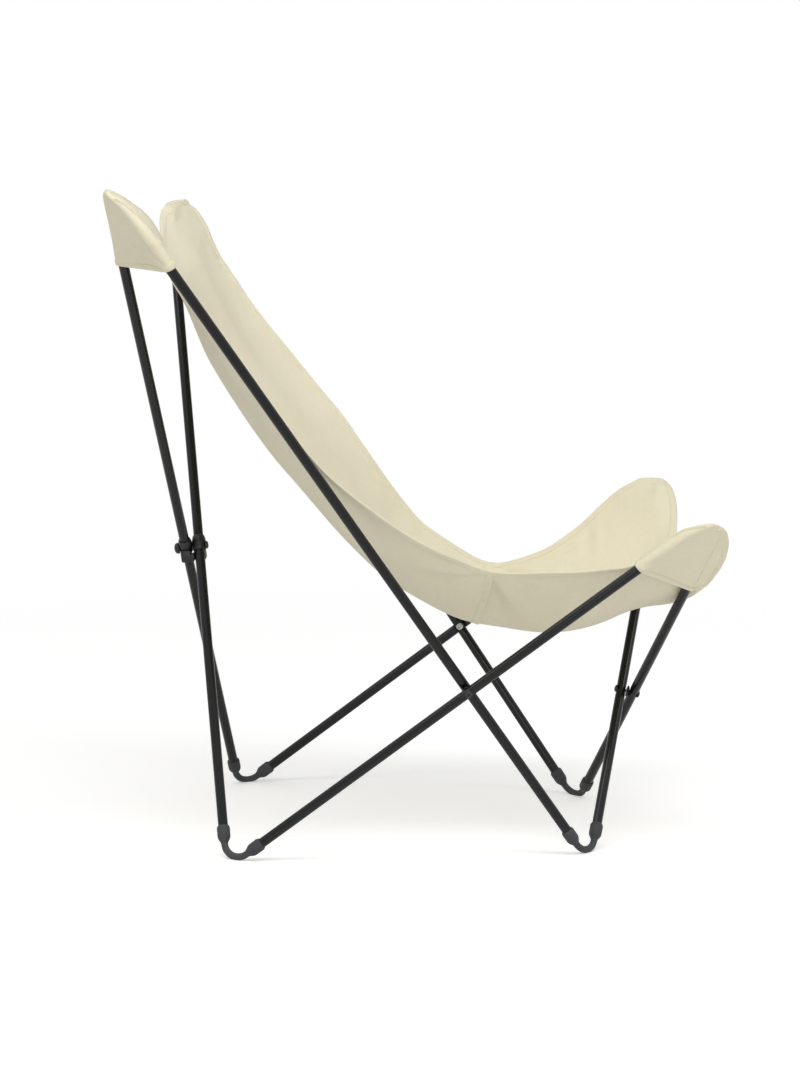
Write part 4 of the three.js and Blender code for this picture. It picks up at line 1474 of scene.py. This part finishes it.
    def normals(self, across: Points, station: Points) -> Points:
        """The directions square to the surface, upward."""
        low, high = np.clip(across - STEP, 0, 1), np.clip(across + STEP, 0, 1)
        before = np.clip(station - 4 * STEP, 0, self.last_station)
        beyond = np.clip(station + 4 * STEP, 0, self.last_station)
        over = self.surface(high, station) - self.surface(low, station)
        along = self.surface(across, beyond) - self.surface(across, before)
        normal = units(np.cross(along, over))
        return np.where((normal[..., 2:] < 0) & (np.abs(normal[..., 2:]) > 0.05), -normal, normal)


@dataclass
class PanelGrid:
    """The points of one panel, with rounded corners at its free end."""

    shape: SlingShape
    end: ClothEnd
    corner_radius: float
    rows: int
    columns: int = 110
    seam_gap: float = 0.012
    samples: int = 321

    @cached_property
    def stations(self) -> Points:
        """The stations of the rows, from the free end to the seam, close together at the free end."""
        stations = np.linspace(*self.span, 400)
        hem = self.shape.at(np.zeros_like(stations), stations)
        run = run_along(hem)
        near = self.corner_radius * (1 - np.cos(np.linspace(0, math.pi / 2, 10)))
        far = np.linspace(self.corner_radius, run[-1], self.rows)[1:]
        return np.interp(np.concatenate([near, far]), run, stations)

    @property
    def span(self) -> tuple[float, float]:
        """The first and last station, from the free end to the seam."""
        seam = self.shape.seam_station
        if self.end is ClothEnd.BACK:
            return 0.0, seam - self.seam_gap
        return float(self.shape.last_station), seam + self.seam_gap

    @cached_property
    def runs(self) -> Points:
        """How far each row is from the free end, along the hem."""
        return run_along(self.shape.at(np.zeros_like(self.stations), self.stations))

    @cached_property
    def across(self) -> Points:
        """The places across of every point, row by row."""
        fine = np.linspace(0, 1, self.samples)
        rows = []
        for station, run in zip(self.stations, self.runs):
            points = self.shape.at(fine, np.full_like(fine, station))
            length = run_along(points)
            short = max(0.0, self.corner_radius - run)
            inset = self.corner_radius - math.sqrt(max(self.corner_radius**2 - short**2, 0.0))
            wanted = np.linspace(inset, length[-1] - inset, self.columns)
            rows.append(np.interp(wanted, length, fine))
        return np.array(rows)

    @cached_property
    def places(self) -> tuple[Points, Points]:
        """The place across and the station of every point."""
        return self.across, np.repeat(self.stations[:, None], self.columns, axis=1)

    @cached_property
    def points(self) -> Points:
        """Every point, as rows, columns and three coordinates."""
        return self.shape.at(*self.places)

    @cached_property
    def weave(self) -> Points:
        """The points' places on the flat cloth, in metres."""
        steps = norm(np.diff(self.points, axis=1), axis=2)
        run = np.concatenate([np.zeros((len(steps), 1)), np.cumsum(steps, axis=1)], axis=1)
        run -= run[:, -1:] / 2
        down = np.repeat(self.runs[:, None], self.columns, axis=1)
        return np.stack([run, down], axis=-1)

    @property
    def flat_size(self) -> Triple:
        """The width, length and area that the panel was cut to."""
        p = self.points
        width = float(norm(np.diff(p, axis=1), axis=2).sum(axis=1).max())
        length = float(norm(np.diff(p, axis=0), axis=2).sum(axis=0).max())
        first = norm(np.cross(p[1:, :-1] - p[:-1, :-1], p[:-1, 1:] - p[:-1, :-1]), axis=2) / 2
        second = norm(np.cross(p[1:, :-1] - p[1:, 1:], p[:-1, 1:] - p[1:, 1:]), axis=2) / 2
        return width, length, float((first + second).sum())

    def outline(self) -> tuple[Points, Points]:
        """The free edge from the seam's right end round the free end to the seam's left end.

        Returns:
            The places across and the stations.
        """
        across, stations = self.places
        right = slice(None, None, -1)
        parts_a = [across[right, 0], across[0, 1:-1], across[:, -1]]
        parts_s = [stations[right, 0], stations[0, 1:-1], stations[:, -1]]
        return np.concatenate(parts_a), np.concatenate(parts_s)


@dataclass
class EdgePath:
    """A path on the sling with the directions along it, into the cloth and off its face."""

    shape: SlingShape
    across: Points
    stations: Points

    @cached_property
    def points(self) -> Points:
        """The path's points."""
        return self.shape.at(self.across, self.stations)

    @cached_property
    def along(self) -> Points:
        """The direction of the path at each point."""
        return units(np.gradient(self.points, axis=0))

    @cached_property
    def normal(self) -> Points:
        """The upward direction off the cloth at each point."""
        return self.shape.normals(self.across, self.stations)

    @cached_property
    def inward(self) -> Points:
        """The direction into the cloth at each point."""
        inward = units(np.cross(self.normal, self.along))
        centre = self.shape.at(np.full_like(self.stations, 0.5), np.full_like(self.stations, 6.5))
        score = np.sum((centre - self.points) * inward)
        return inward if score > 0 else -inward

    def square(self, distance: float) -> Points:
        """A step of the given size square to the path, within the cloth."""
        return units(np.cross(self.normal, self.along)) * distance

    def inset(self, distance: float) -> Points:
        """The path moved into the cloth, staying on it."""
        if distance <= 0:
            return self.points + self.inward * distance
        places = np.array([self.across, self.stations])
        limits = np.array([[1], [self.shape.last_station]])
        slopes = []
        for step in np.diag([2 * STEP, 10 * STEP])[..., None]:
            low, high = (np.clip(places + sign * step, 0, limits) for sign in (-1, 1))
            slopes.append((self.shape.at(*high) - self.shape.at(*low)) / (high - low).sum(0)[:, None])
        by_a, by_s = slopes
        aa, ab, bb = (np.sum(m * n, axis=1) for m, n in ((by_a, by_a), (by_a, by_s), (by_s, by_s)))
        ra, rb = (np.sum(slope * self.inward, axis=1) for slope in slopes)
        moves = np.array([ra * bb - rb * ab, rb * aa - ra * ab]) / (aa * bb - ab * ab)
        return self.shape.at(*np.clip(places + distance * moves, 0, limits))


@dataclass(frozen=True)
class HemCut:
    """The size of a folded and sewn hem."""

    width: float = 0.011
    height: float = 0.0017
    flush: float = 0.0006
    stitch_inset: float = 0.0086
    second_inset: float = 0.0028
    lip: float = 0.0010


@dataclass(frozen=True)
class StitchRun:
    """The size of a row of stitches."""

    length: float = 0.0036
    pitch: float = 0.0047
    radius: float = 0.00045
    sides: int = 6

    @property
    def profile(self) -> list[Triple]:
        """Each ring's place along a stitch, its radius and its height, the last two in metres."""
        shares = ((0.0, 0.35, -0.9), (0.2, 0.9, 0.0), (0.8, 0.9, 0.0), (1.0, 0.35, -0.9))
        return [(place, self.radius * wide, self.radius * high) for place, wide, high in shares]


@dataclass(frozen=True)
class SeamCut:
    """The size of the cross seam, its rows of stitches and the short bars near its ends."""

    width: float = 0.014
    height: float = 0.0017
    ease: float = 0.0005
    span: tuple[float, float] = (0.0012, 0.9988)
    steps: int = 164
    row_inset: float = 0.0022
    bar: StitchRun = StitchRun(0.0062, 0.0064, 0.0006)
    bars: int = 13
    bar_pitch: float = 0.005
    bar_share: float = 0.45
    first_bar: float = 0.018
    last_bars: float = 0.078


@dataclass(frozen=True)
class SlingPart:
    """One panel's end of the sling: its body, the hinge that it folds on and the cut of its panel."""

    word: str
    body: str
    joint: str
    axis: Triple
    keep: float
    corner_radius: float
    rows: int


PARTS = {
    ClothEnd.BACK: SlingPart(
        "back", "back_sling", "back_sling_swing", (0.9977, -0.0264, 0.0627), 0.157, 0.02, 120
    ),
    ClothEnd.FRONT: SlingPart(
        "seat", "seat_sling", "seat_sling_swing", (0.9875, 0.0232, -0.1557), 0.235, 0.012, 66
    ),
}


@dataclass
class CanvasSling:
    """The canvas: two panels, their hems and stitching, the cross seam and four pockets."""

    shape: SlingShape
    finishes: Finishes
    thickness: float = 0.0012
    hem: HemCut = HemCut()
    seam: SeamCut = SeamCut()
    stitch: StitchRun = StitchRun()
    stitch_rise: float = 0.3

    def build(self) -> None:
        """Makes every piece of the canvas."""
        grids = {end: PanelGrid(self.shape, end, part.corner_radius, part.rows) for end, part in PARTS.items()}
        for end, grid in grids.items():
            word = PARTS[end].word
            half = self.shape.normals(*grid.places) * self.thickness / 2
            draft = Draft()
            draft.add_sheet(grid.points + half, grid.points - half, grid.weave)
            panel = draft.build(f"{word}_panel_canvas", [self.finishes.canvas])
            self.set_on_body(panel, end, f"{word}_panel")
            trims = self.hem_pieces(word, grid, end)
            if end is ClothEnd.FRONT:
                trims += self.seam_pieces()
            width, length, area = grid.flat_size
            names = [corner.side_tube.node for corner in self.shape.corners if corner.end is end]
            min(area, width * length)
        for corner in self.shape.corners:
            CornerPocket(corner, grids[corner.end], self).build()

    def set_on_body(self, piece: Piece, end: ClothEnd, *nodes: str) -> None:
        """Sets a piece of cloth on its part of the sling and gives it a mesh of its own."""
        part = PARTS[end]
        settle(piece, part.body, "canvas", *nodes)
        line = (self.shape.lines.long if end is ClothEnd.BACK else self.shape.lines.short)[Side.RIGHT]
        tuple(part.axis)
        tuple(line.top)
        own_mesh(piece)

    def trims(self, end: ClothEnd, *pieces: Piece) -> list[Piece]:
        """Sets trimmings on their part of the sling and lists them."""
        for piece in pieces:
            self.set_on_body(piece, end)
        return list(pieces)

    def band(self, name: str, path: EdgePath) -> Piece:
        """A folded hem along a path, wrapped round the cloth's edge."""
        wide, top, lip = self.hem.width, self.hem.height, self.hem.lip
        section = [
            (wide, self.hem.flush), (wide - 0.0004, top * 0.86), (wide - 0.0013, top), (wide * 0.5, top * 1.06),
            (0.0012, top), (-lip * 0.5, top * 0.75), (-lip, 0.0),
        ]
        section += [(distance, -height) for distance, height in reversed(section[:-1])]
        lines = [path.inset(distance) + path.normal * height for distance, height in section]
        draft = Draft()
        draft.add_strip(np.stack(lines, axis=1), [distance for distance, _ in section], run_along(path.points))
        return draft.build(name, [self.finishes.canvas], 60)

    def stitches(self, name: str, rows: Pairs, size: StitchRun | None = None) -> Piece:
        """Rows of separate stitches.

        Args:
            name: The piece's name.
            rows: For each row, its points and the upward directions at them.
            size: The size of the stitches.

        Returns:
            The stitches as one object.
        """
        size = size or self.stitch
        draft = Draft()
        for points, normals in rows:
            run = run_along(points)
            count = max(1, round(run[-1] / size.pitch))
            for middle in (np.arange(count) + 0.5) * run[-1] / count:
                start, end = (point_at(middle + sign * size.length / 2, run, points) for sign in (-1, 1))
                normal = unit(point_at(middle, run, normals))
                side = unit(np.cross(normal, unit(end - start)))
                draft.add_rings([
                    ring(start + (end - start) * place + normal * high, side, normal, radius, size.sides)
                    for place, radius, high in size.profile
                ])
        return draft.build(name, [self.finishes.thread])

    def hem_pieces(self, word: str, grid: PanelGrid, end: ClothEnd) -> list[Piece]:
        """The hem round a panel and its stitching, above and below."""
        path = EdgePath(self.shape, *grid.outline())
        hem = self.band(f"{word}_hem", path)
        insets = [self.hem.stitch_inset]
        if end is ClothEnd.FRONT:
            insets.append(self.hem.second_inset)
        height = self.hem.height + self.stitch.radius * self.stitch_rise
        rows = []
        for line in (path.inset(inset) for inset in insets):
            rows += [(line + path.normal * height * sign, path.normal * sign) for sign in (1, -1)]
        return self.trims(end, hem, self.stitches(f"{word}_hem_stitching", rows))

    def seam_pieces(self) -> list[Piece]:
        """The felled seam between the panels, with its rows of stitches and short bars at its ends."""
        cut = self.seam
        across = np.linspace(*cut.span, cut.steps)
        path = EdgePath(self.shape, across, np.full_like(across, float(self.shape.seam_station)))
        half, top, ease = cut.width / 2, cut.height, cut.ease
        upper = [(-half, ease), (-half + ease, top), (0.0, top * 1.05), (half - ease, top), (half, ease)]
        section = upper + [(distance, -height) for distance, height in reversed(upper)]
        lines = [path.points + path.square(distance) + path.normal * height for distance, height in section]
        draft = Draft()
        widths = [distance for distance, _ in upper] * 2
        draft.add_strip(np.stack(lines, axis=1), widths, run_along(path.points))
        band = draft.build("cross_seam", [self.finishes.canvas], 60)
        height = top + self.stitch.radius * self.stitch_rise
        rows = []
        for sign in (1, -1):
            for place in (-half + cut.row_inset, half - cut.row_inset):
                line = path.points + path.square(place)
                rows.append((line + path.normal * height * sign, path.normal * sign))
        thread = self.stitches("cross_seam_stitching", rows)
        bars = self.stitches("cross_seam_bars", self.bar_rows(path, height), cut.bar)
        return self.trims(ClothEnd.FRONT, band, thread, bars)

    def bar_rows(self, path: EdgePath, height: float) -> Pairs:
        """Short bars across the seam near its two ends, on both faces."""
        run = run_along(path.points)
        aside = path.square(self.seam.width / 2 * self.seam.bar_share)
        rows = []
        for first in (self.seam.first_bar, run[-1] - self.seam.last_bars):
            for number in range(self.seam.bars):
                place = int(np.argmin(np.abs(run - first - number * self.seam.bar_pitch)))
                for sign in (1, -1):
                    normal = path.normal[place] * sign
                    ends = path.points[place] + np.array([-aside[place], aside[place]]) + normal * height
                    rows.append((ends, np.array([normal, normal])))
        return rows


@dataclass
class CornerPocket:
    """The lower layer of a corner: it wraps two tube tops and is sewn under the panel."""

    corner: ClothCorner
    grid: PanelGrid
    sling: CanvasSling
    radius: float = 0.0098
    thickness: float = 0.0011
    rings: int = 16
    tip_rings: int = 16
    across: int = 58
    search: float = 0.16
    tip_share: float = 0.985
    binding_width: float = 0.0094
    binding_room: float = 0.48
    bare_rows: int = 3
    crease_place: float = 0.16
    crease_height: float = 0.0013
    least_area: float = 0.31
    back_depths: tuple[float, float] = (0.036, 0.018)
    front_depths: tuple[float, float] = (0.060, 0.092)

    @property
    def name(self) -> str:
        """The node's name."""
        word = "back" if self.corner.end is ClothEnd.BACK else "front"
        return f"{word}_pocket_{self.corner.side.word}"

    def sections(self) -> tuple[Points, Points]:
        """The lower layer as rows from the mouth to the tip.

        Returns:
            The points of each row, and how far each row is from the mouth.
        """
        corner, ends = self.corner, self.corner.ends
        ways = [corner.side_tube.direction, corner.cross_tube.direction]
        edges = self.edges()
        mouths = [end - way * depth for end, way, depth in zip(ends, ways, self.depths)]
        places = [self.beside(edge, mouth, 2 * self.search) for edge, mouth in zip(edges, mouths)]
        turn = [self.beside(edge, end, self.search) for edge, end in zip(edges, ends)]
        rows, runs = [], []
        for number in range(self.rings + self.tip_rings + 1):
            share = self.tip_share * max(0.0, (number - self.rings) / self.tip_rings)
            along = min(1.0, number / self.rings)
            points, centres = [], []
            for edge, end, way, mouth, last, depth in zip(edges, ends, ways, places, turn, self.depths):
                place = mouth + (last - mouth) * along if share == 0 else last * (1 - share)
                point = point_at(place, *edge)
                rest = end - point_at(last, *edge)
                back = depth * (1 - along)
                centres.append(end - way * back if share == 0 else point + rest * (1 - share))
                points.append(point)
            radius = self.radius * (1 - share) ** 0.6 + MERGE
            rows.append(self.section(points, centres, radius))
            runs.append(float(norm(rows[-1].mean(0) - rows[0].mean(0))))
        return np.array(rows), np.array(runs)

    @property
    def depths(self) -> tuple[float, float]:
        """How far the pocket reaches down its side tube and its cross tube."""
        back = self.corner.end is ClothEnd.BACK
        return self.back_depths if back else self.front_depths

    def edges(self) -> Pairs:
        """The free outline from the tip along the hem, and along the end, each after its lengths."""
        outline = self.sling.shape.at(*self.grid.outline())
        if self.corner.side is Side.LEFT:
            outline = outline[::-1]
        tip = self.tip_number(outline)
        return [(run_along(part), part) for part in (outline[tip::-1], outline[tip:])]

    def tip_number(self, outline: Points) -> int:
        """The number of the outline's point in the middle of the rounded corner."""
        run = run_along(outline)
        hem_points = self.grid.points.shape[0]
        start = run[hem_points - 10]
        return int(np.searchsorted(run, (start + run[hem_points]) / 2))

    @staticmethod
    def beside(edge: tuple[Points, Points], target: Points, search: float) -> float:
        """The length from the tip to where the edge passes closest to a point."""
        run, points = edge
        near = run < search
        return float(run[near][np.argmin(norm(points[near] - target, axis=1))])

    def section(self, points: list[Points], centres: list[Points], radius: float) -> Points:
        """One row: from the hem under both tubes to the end's edge.

        Args:
            points: The points on the two edges.
            centres: The middles of the two tubes.
            radius: How far the cloth stays from those middles.

        Returns:
            The row's points.
        """
        span = centres[1] - centres[0]
        reach = unit(span) if norm(span) > radius else unit(points[1] - points[0] + span)
        upward = unit(self.corner.normal - reach * float(self.corner.normal @ reach))
        halves = []
        for point, centre, out in zip(points, centres, (-reach, reach)):
            offset = point - centre
            angle = math.atan2(float(offset @ upward), float(offset @ out))
            distance = math.hypot(float(offset @ upward), float(offset @ out))
            start = angle - math.acos(min(1.0, radius / max(distance, MERGE)))
            start = min(max(start, -1.2), 1.7)
            turns = np.linspace(start, -math.pi / 2, 7)
            arc = [centre + radius * (out * math.cos(t) + upward * math.sin(t)) for t in turns]
            halves.append([point, *arc])
        first, second = halves[0], halves[1][::-1]
        between = [first[-1] + (second[0] - first[-1]) * share for share in (0.33, 0.67)]
        line = CatmullLine(np.array(first + between + second))
        return line.at(np.linspace(0, 1, self.across))

    def build(self) -> None:
        """Makes the pocket's lower layer, its mouth hem and the stitching."""
        rows, runs = self.sections()
        rows = rows + self.normals(rows) * self.creases(rows)[..., None]
        normals = self.normals(rows)
        widths = np.cumsum(norm(np.gradient(rows, axis=1), axis=2), axis=1)
        weave = np.stack([widths - widths[:, -1:] / 2, np.repeat(runs[:, None], self.across, axis=1)], axis=-1)
        draft = Draft()
        draft.add_sheet(rows, rows + normals * self.thickness, weave)
        piece = draft.build(f"{self.name}_canvas", [self.sling.finishes.canvas])
        self.sling.set_on_body(piece, self.corner.end, self.name)
        trims = self.mouth(rows, normals) + self.binding(rows, normals)
        down, over = np.diff(rows, axis=0), np.diff(rows, axis=1)
        width = float(norm(over, axis=2).sum(axis=1).max())
        length = float(norm(down, axis=2).sum(axis=0).max())
        area = float(norm(np.cross(down[:, :-1], over[:-1]), axis=2).sum())
        area = min(max(area, self.least_area * width * length), width * length)

    def normals(self, rows: Points) -> Points:
        """The directions off the pocket's outer face."""
        normals = units(np.cross(np.gradient(rows, axis=1), np.gradient(rows, axis=0)))
        outward = float(np.sum(normals[:, self.across // 2] @ self.corner.normal)) < 0
        return normals if outward else -normals

    def creases(self, rows: Points) -> Points:
        """Heights of the soft folds that fan out from the side tube's mouth."""
        origin = rows[0, round(self.crease_place * self.across)]
        over = unit(rows[0, -8] - rows[0, 8])
        away = rows.mean(axis=1)[-1] - origin
        away = unit(away - over * float(away @ over))
        offset = rows - origin
        distance = norm(offset, axis=-1)
        angle = np.arctan2(offset @ away, offset @ over)
        fan = np.cos(8.5 * angle + 0.4) + 0.5 * np.cos(15 * angle)
        calm = np.sin(np.linspace(0, math.pi, rows.shape[1])) ** 0.8
        ends = smooth_step(np.linspace(0, 5, rows.shape[0])) * smooth_step(np.linspace(4, 0, rows.shape[0]))
        reach = smooth_step(distance / 0.03) * np.exp(-((distance / 0.1) ** 2))
        return self.crease_height * fan * reach * calm * ends[:, None]

    def binding(self, rows: Points, normals: Points) -> list[Piece]:
        """The binding sewn along the pocket's two outer edges, and its stitches.

        Args:
            rows: The pocket's points, from the mouth to the tip.
            normals: The outward directions at them.

        Returns:
            The binding and the stitches.
        """
        section = [
            (-0.0006, 0.0), (-0.0006, 0.0017), (0.0004, 0.0024), (0.0045, 0.0026), (0.0086, 0.0024),
            (0.0094, 0.0012),
        ]
        sewn_in, sewn_at, sewn_height = section[-2][0], 0.0068, 0.0027
        draft = Draft()
        sewn = []
        for step in (1, -1):
            rings, line, outward = [], [], []
            for points, ways in zip(rows[:-self.bare_rows, ::step], normals[:-self.bare_rows, ::step]):
                run = run_along(points)
                room = min(1.0, self.binding_room * run[-1] / self.binding_width)
                beyond = (points[0] - points[1]) / max(run[1], MERGE)
                rings.append([
                    point_at(distance * room, run, points) + beyond * max(0.0, -distance * room)
                    + unit(point_at(distance * room, run, ways)) * height
                    for distance, height in section
                ])
                outward.append(unit(point_at(sewn_in * room, run, ways)))
                line.append(point_at(sewn_at * room, run, points) + outward[-1] * sewn_height)
            strip = np.array(rings)
            draft.add_strip(strip, [distance for distance, _ in section], run_along(strip[:, 0]))
            sewn.append((np.array(line), np.array(outward)))
        bound = draft.build(f"{self.name}_binding", [self.sling.finishes.canvas], 50)
        thread = self.sling.stitches(f"{self.name}_binding_stitching", sewn)
        return self.sling.trims(self.corner.end, bound, thread)

    def mouth(self, rows: Points, normals: Points) -> list[Piece]:
        """The folded hem at the pocket's mouth and its stitches."""
        edge, out = rows[0], normals[0]
        inward = units(rows[2] - rows[0])
        section = [
            (0.0095, 0.0012), (0.0088, 0.0019), (0.0045, 0.0021), (0.0006, 0.0018), (-0.0008, 0.0006),
            (0.0004, -0.0005), (0.009, -0.0003),
        ]
        sewn_at, sewn_height = 0.0074, 0.0022
        lines = [edge + inward * distance + out * height for distance, height in section]
        draft = Draft()
        draft.add_strip(np.stack(lines, axis=1), [distance for distance, _ in section], run_along(edge))
        hem = draft.build(f"{self.name}_mouth_hem", [self.sling.finishes.canvas], 60)
        sewn = [(edge + inward * sewn_at + out * sewn_height, out)]
        thread = self.sling.stitches(f"{self.name}_stitching", sewn)
        return self.sling.trims(self.corner.end, hem, thread)


# The room


@dataclass(frozen=True)
class Softbox:
    """A lamp with a broad face, and the point that it is turned to."""

    name: str
    place: Triple
    target: Triple
    width: float
    height: float
    power: float

    def build(self) -> None:
        """Makes the lamp."""
        light = bpy.data.lights.new(self.name, "AREA")
        light.shape = "RECTANGLE"
        light.size, light.size_y, light.energy = self.width, self.height, self.power
        lamp = placed(self.name, light)
        lamp.location = self.place
        lamp.rotation_mode = "QUATERNION"
        lamp.rotation_quaternion = (Vector(self.target) - Vector(self.place)).to_track_quat("-Z", "Y")


@dataclass(frozen=True)
class Studio:
    """A plain white floor and soft lamps."""

    world_light: float = 0.46
    floor_reach: float = 9.0
    floor_height: float = -0.0004
    floor_colour: tuple[float, ...] = (0.93, 0.93, 0.92, 1)
    floor_glow: float = 0.34
    plain_from: float = 0.9
    plain_to: float = 2.2
    lamps: tuple[Softbox, ...] = (
        Softbox("overhead_softbox", (-1.0, -0.3, 3.0), (0.0, -0.3, 0.4), 6.4, 0.9, 66.0),
        Softbox("near_fill", (-3.7, -0.2, 1.6), (0.0, 0.0, 0.5), 2.0, 2.0, 26.0),
    )

    def build(self) -> None:
        """Makes the world, the floor and the lamps."""
        self.world()
        self.floor()
        for lamp in self.lamps:
            lamp.build()

    @staticmethod
    def seen_rays(kit: NodeKit) -> Socket:
        """1 for what the camera, a reflection or a clear piece sees, and 0 for light that falls on pieces."""
        path = kit.new("LightPath").outputs
        both = kit.math("MAXIMUM", path["Is Camera Ray"], path["Is Glossy Ray"])
        return kit.math("MAXIMUM", both, path["Is Transmission Ray"])

    @staticmethod
    def joined(kit: NodeKit, first: Socket, second: Socket, share: Socket | None = None) -> Socket:
        """The sum of two shaders, or their mix where a share is given."""
        node = kit.new("AddShader" if share is None else "MixShader")
        sockets = list(node.inputs)
        if share is not None:
            kit.feed(sockets[0], share)
        for socket, shader in zip(sockets[-2:], (first, second)):
            kit.feed(socket, shader)
        return node.outputs[0]

    def world(self) -> None:
        """A white surround that lights the chair softly."""
        world = bpy.data.worlds.new("white_surround")
        world.use_nodes = True
        kit = NodeKit(world.node_tree)
        kit.tree.nodes.clear()
        strength = kit.add(kit.times(self.seen_rays(kit), 1 - self.world_light), self.world_light)
        back = kit.filled("Background", {"Color": (1, 1, 1, 1), "Strength": strength})
        kit.filled("OutputWorld", {"Surface": back.outputs[0]})
        bpy.context.scene.world = world

    def floor(self) -> None:
        """A pale floor that keeps the chair's shadow and runs out into the white."""
        reach = self.floor_reach
        corners = [(x * reach, y * reach, self.floor_height) for x, y in ((-1, -1), (1, -1), (1, 1), (-1, 1))]
        mesh = bpy.data.meshes.new("floor")
        mesh.from_pydata(corners, [], [(0, 1, 2, 3)])
        material = bpy.data.materials.new("pale_floor")
        material.use_nodes = True
        kit = NodeKit(material.node_tree)
        kit.tree.nodes.clear()
        matt = kit.filled("BsdfDiffuse", {"Color": self.floor_colour}).outputs[0]
        glow = kit.filled("Emission", {"Strength": self.floor_glow}).outputs[0]
        white = kit.new("Emission").outputs[0]
        length = kit.new("VectorMath")
        length.operation = "LENGTH"
        kit.feed(length.inputs[0], kit.new("TexCoord").outputs["Object"])
        far = kit.ramp(length.outputs["Value"], self.plain_from, self.plain_to)
        seen = self.seen_rays(kit)
        near = self.joined(kit, matt, self.joined(kit, matt, glow), seen)
        whole = self.joined(kit, near, white, kit.times(far, seen))
        kit.filled("OutputMaterial", {"Surface": whole})
        mesh.materials.append(material)
        placed("floor", mesh)


@dataclass(frozen=True)
class ProductCamera:
    """The camera, at the angle of the photograph."""

    place: Triple = (-5.6068, 0.0667, 1.4918)
    yaw: float = -0.008
    pitch: float = 0.1777
    roll: float = 0.0132
    focal_pixels: float = 3480.5
    frame_pixels: int = 1067
    sensor: float = 36.0
    nearest: float = 0.05
    farthest: float = 60.0

    def build(self) -> None:
        """Makes the camera and gives it to the scene."""
        level = math.cos(self.pitch)
        forward = np.array([math.cos(self.yaw) * level, math.sin(self.yaw) * level, -math.sin(self.pitch)])
        right = unit(np.cross(forward, UP))
        upward = np.cross(right, forward)
        cos, sin = math.cos(self.roll), math.sin(self.roll)
        data = bpy.data.cameras.new("product_camera")
        data.sensor_width = self.sensor
        data.lens = self.focal_pixels / self.frame_pixels * self.sensor
        data.clip_start, data.clip_end = self.nearest, self.farthest
        camera = bpy.data.objects.new("product_camera", data)
        matrix = np.eye(4)
        turned = [cos * right + sin * upward, cos * upward - sin * right]
        matrix[:3] = np.stack([*turned, -forward, self.place], axis=1)
        camera.matrix_world = Matrix(matrix.tolist())
        bpy.context.scene.collection.objects.link(camera)
        bpy.context.scene.camera = camera


def dress_hidden_plugs(finishes: Finishes) -> None:
    """Gives the plugs in the tubes' tops their moulded finish."""
    for node, piece in frame["nodes"].items():
        if node.endswith("_cap"):
            piece.data.materials.clear()
            piece.data.materials.append(finishes.plastic)


def build_frame(lines: FrameLines, finishes: Finishes) -> None:
    """Makes the tubes, feet, crossings and the back hinge."""
    pivots: dict[str, tuple[Points, Points]] = {}
    for side in Side:
        axis = lines.pin_axis(lines.long[side], lines.short[side], ACROSS)
        pivots[lines.long[side].node] = pivots[lines.short[side].node] = (lines.side_pin[side], axis)
    for family, pin in ((lines.back, lines.back_pin), (lines.front, lines.front_pin)):
        axis = lines.pin_axis(family[Side.LEFT], family[Side.RIGHT], BACKWARD)
        for line in family.values():
            pivots[line.node] = (pin, axis)
    for line in lines.tubes:
        SteelTube(line, *pivots[line.node]).build(finishes.coat)
    for side, other in ((Side.RIGHT, Side.LEFT), (Side.LEFT, Side.RIGHT)):
        FlexFoot(f"rear_{side.word}_foot", lines.back[other], lines.short[side]).build(finishes.rubber)
    for side, other in ((Side.RIGHT, Side.LEFT), (Side.LEFT, Side.RIGHT)):
        FlexFoot(f"front_{side.word}_foot", lines.long[side], lines.front[other]).build(finishes.rubber)
    for side in Side:
        SideCrossing(side, lines).build(finishes)
    FrontCrossing(lines).build(finishes)
    BackHinge(lines).build(finishes)
    dress_hidden_plugs(finishes)


def main() -> None:
    """Builds the chair, its room and the camera."""
    logging.basicConfig(level=logging.INFO, format="%(message)s")
    ProductCamera().build()
    Studio().build()
    finishes = Finishes()
    lines = FrameLines()
    build_frame(lines, finishes)
    CanvasSling(SlingShape(lines), finishes).build()
    bpy.context.scene.view_settings.view_transform = "Standard"


if __name__ == "__main__":
    main()
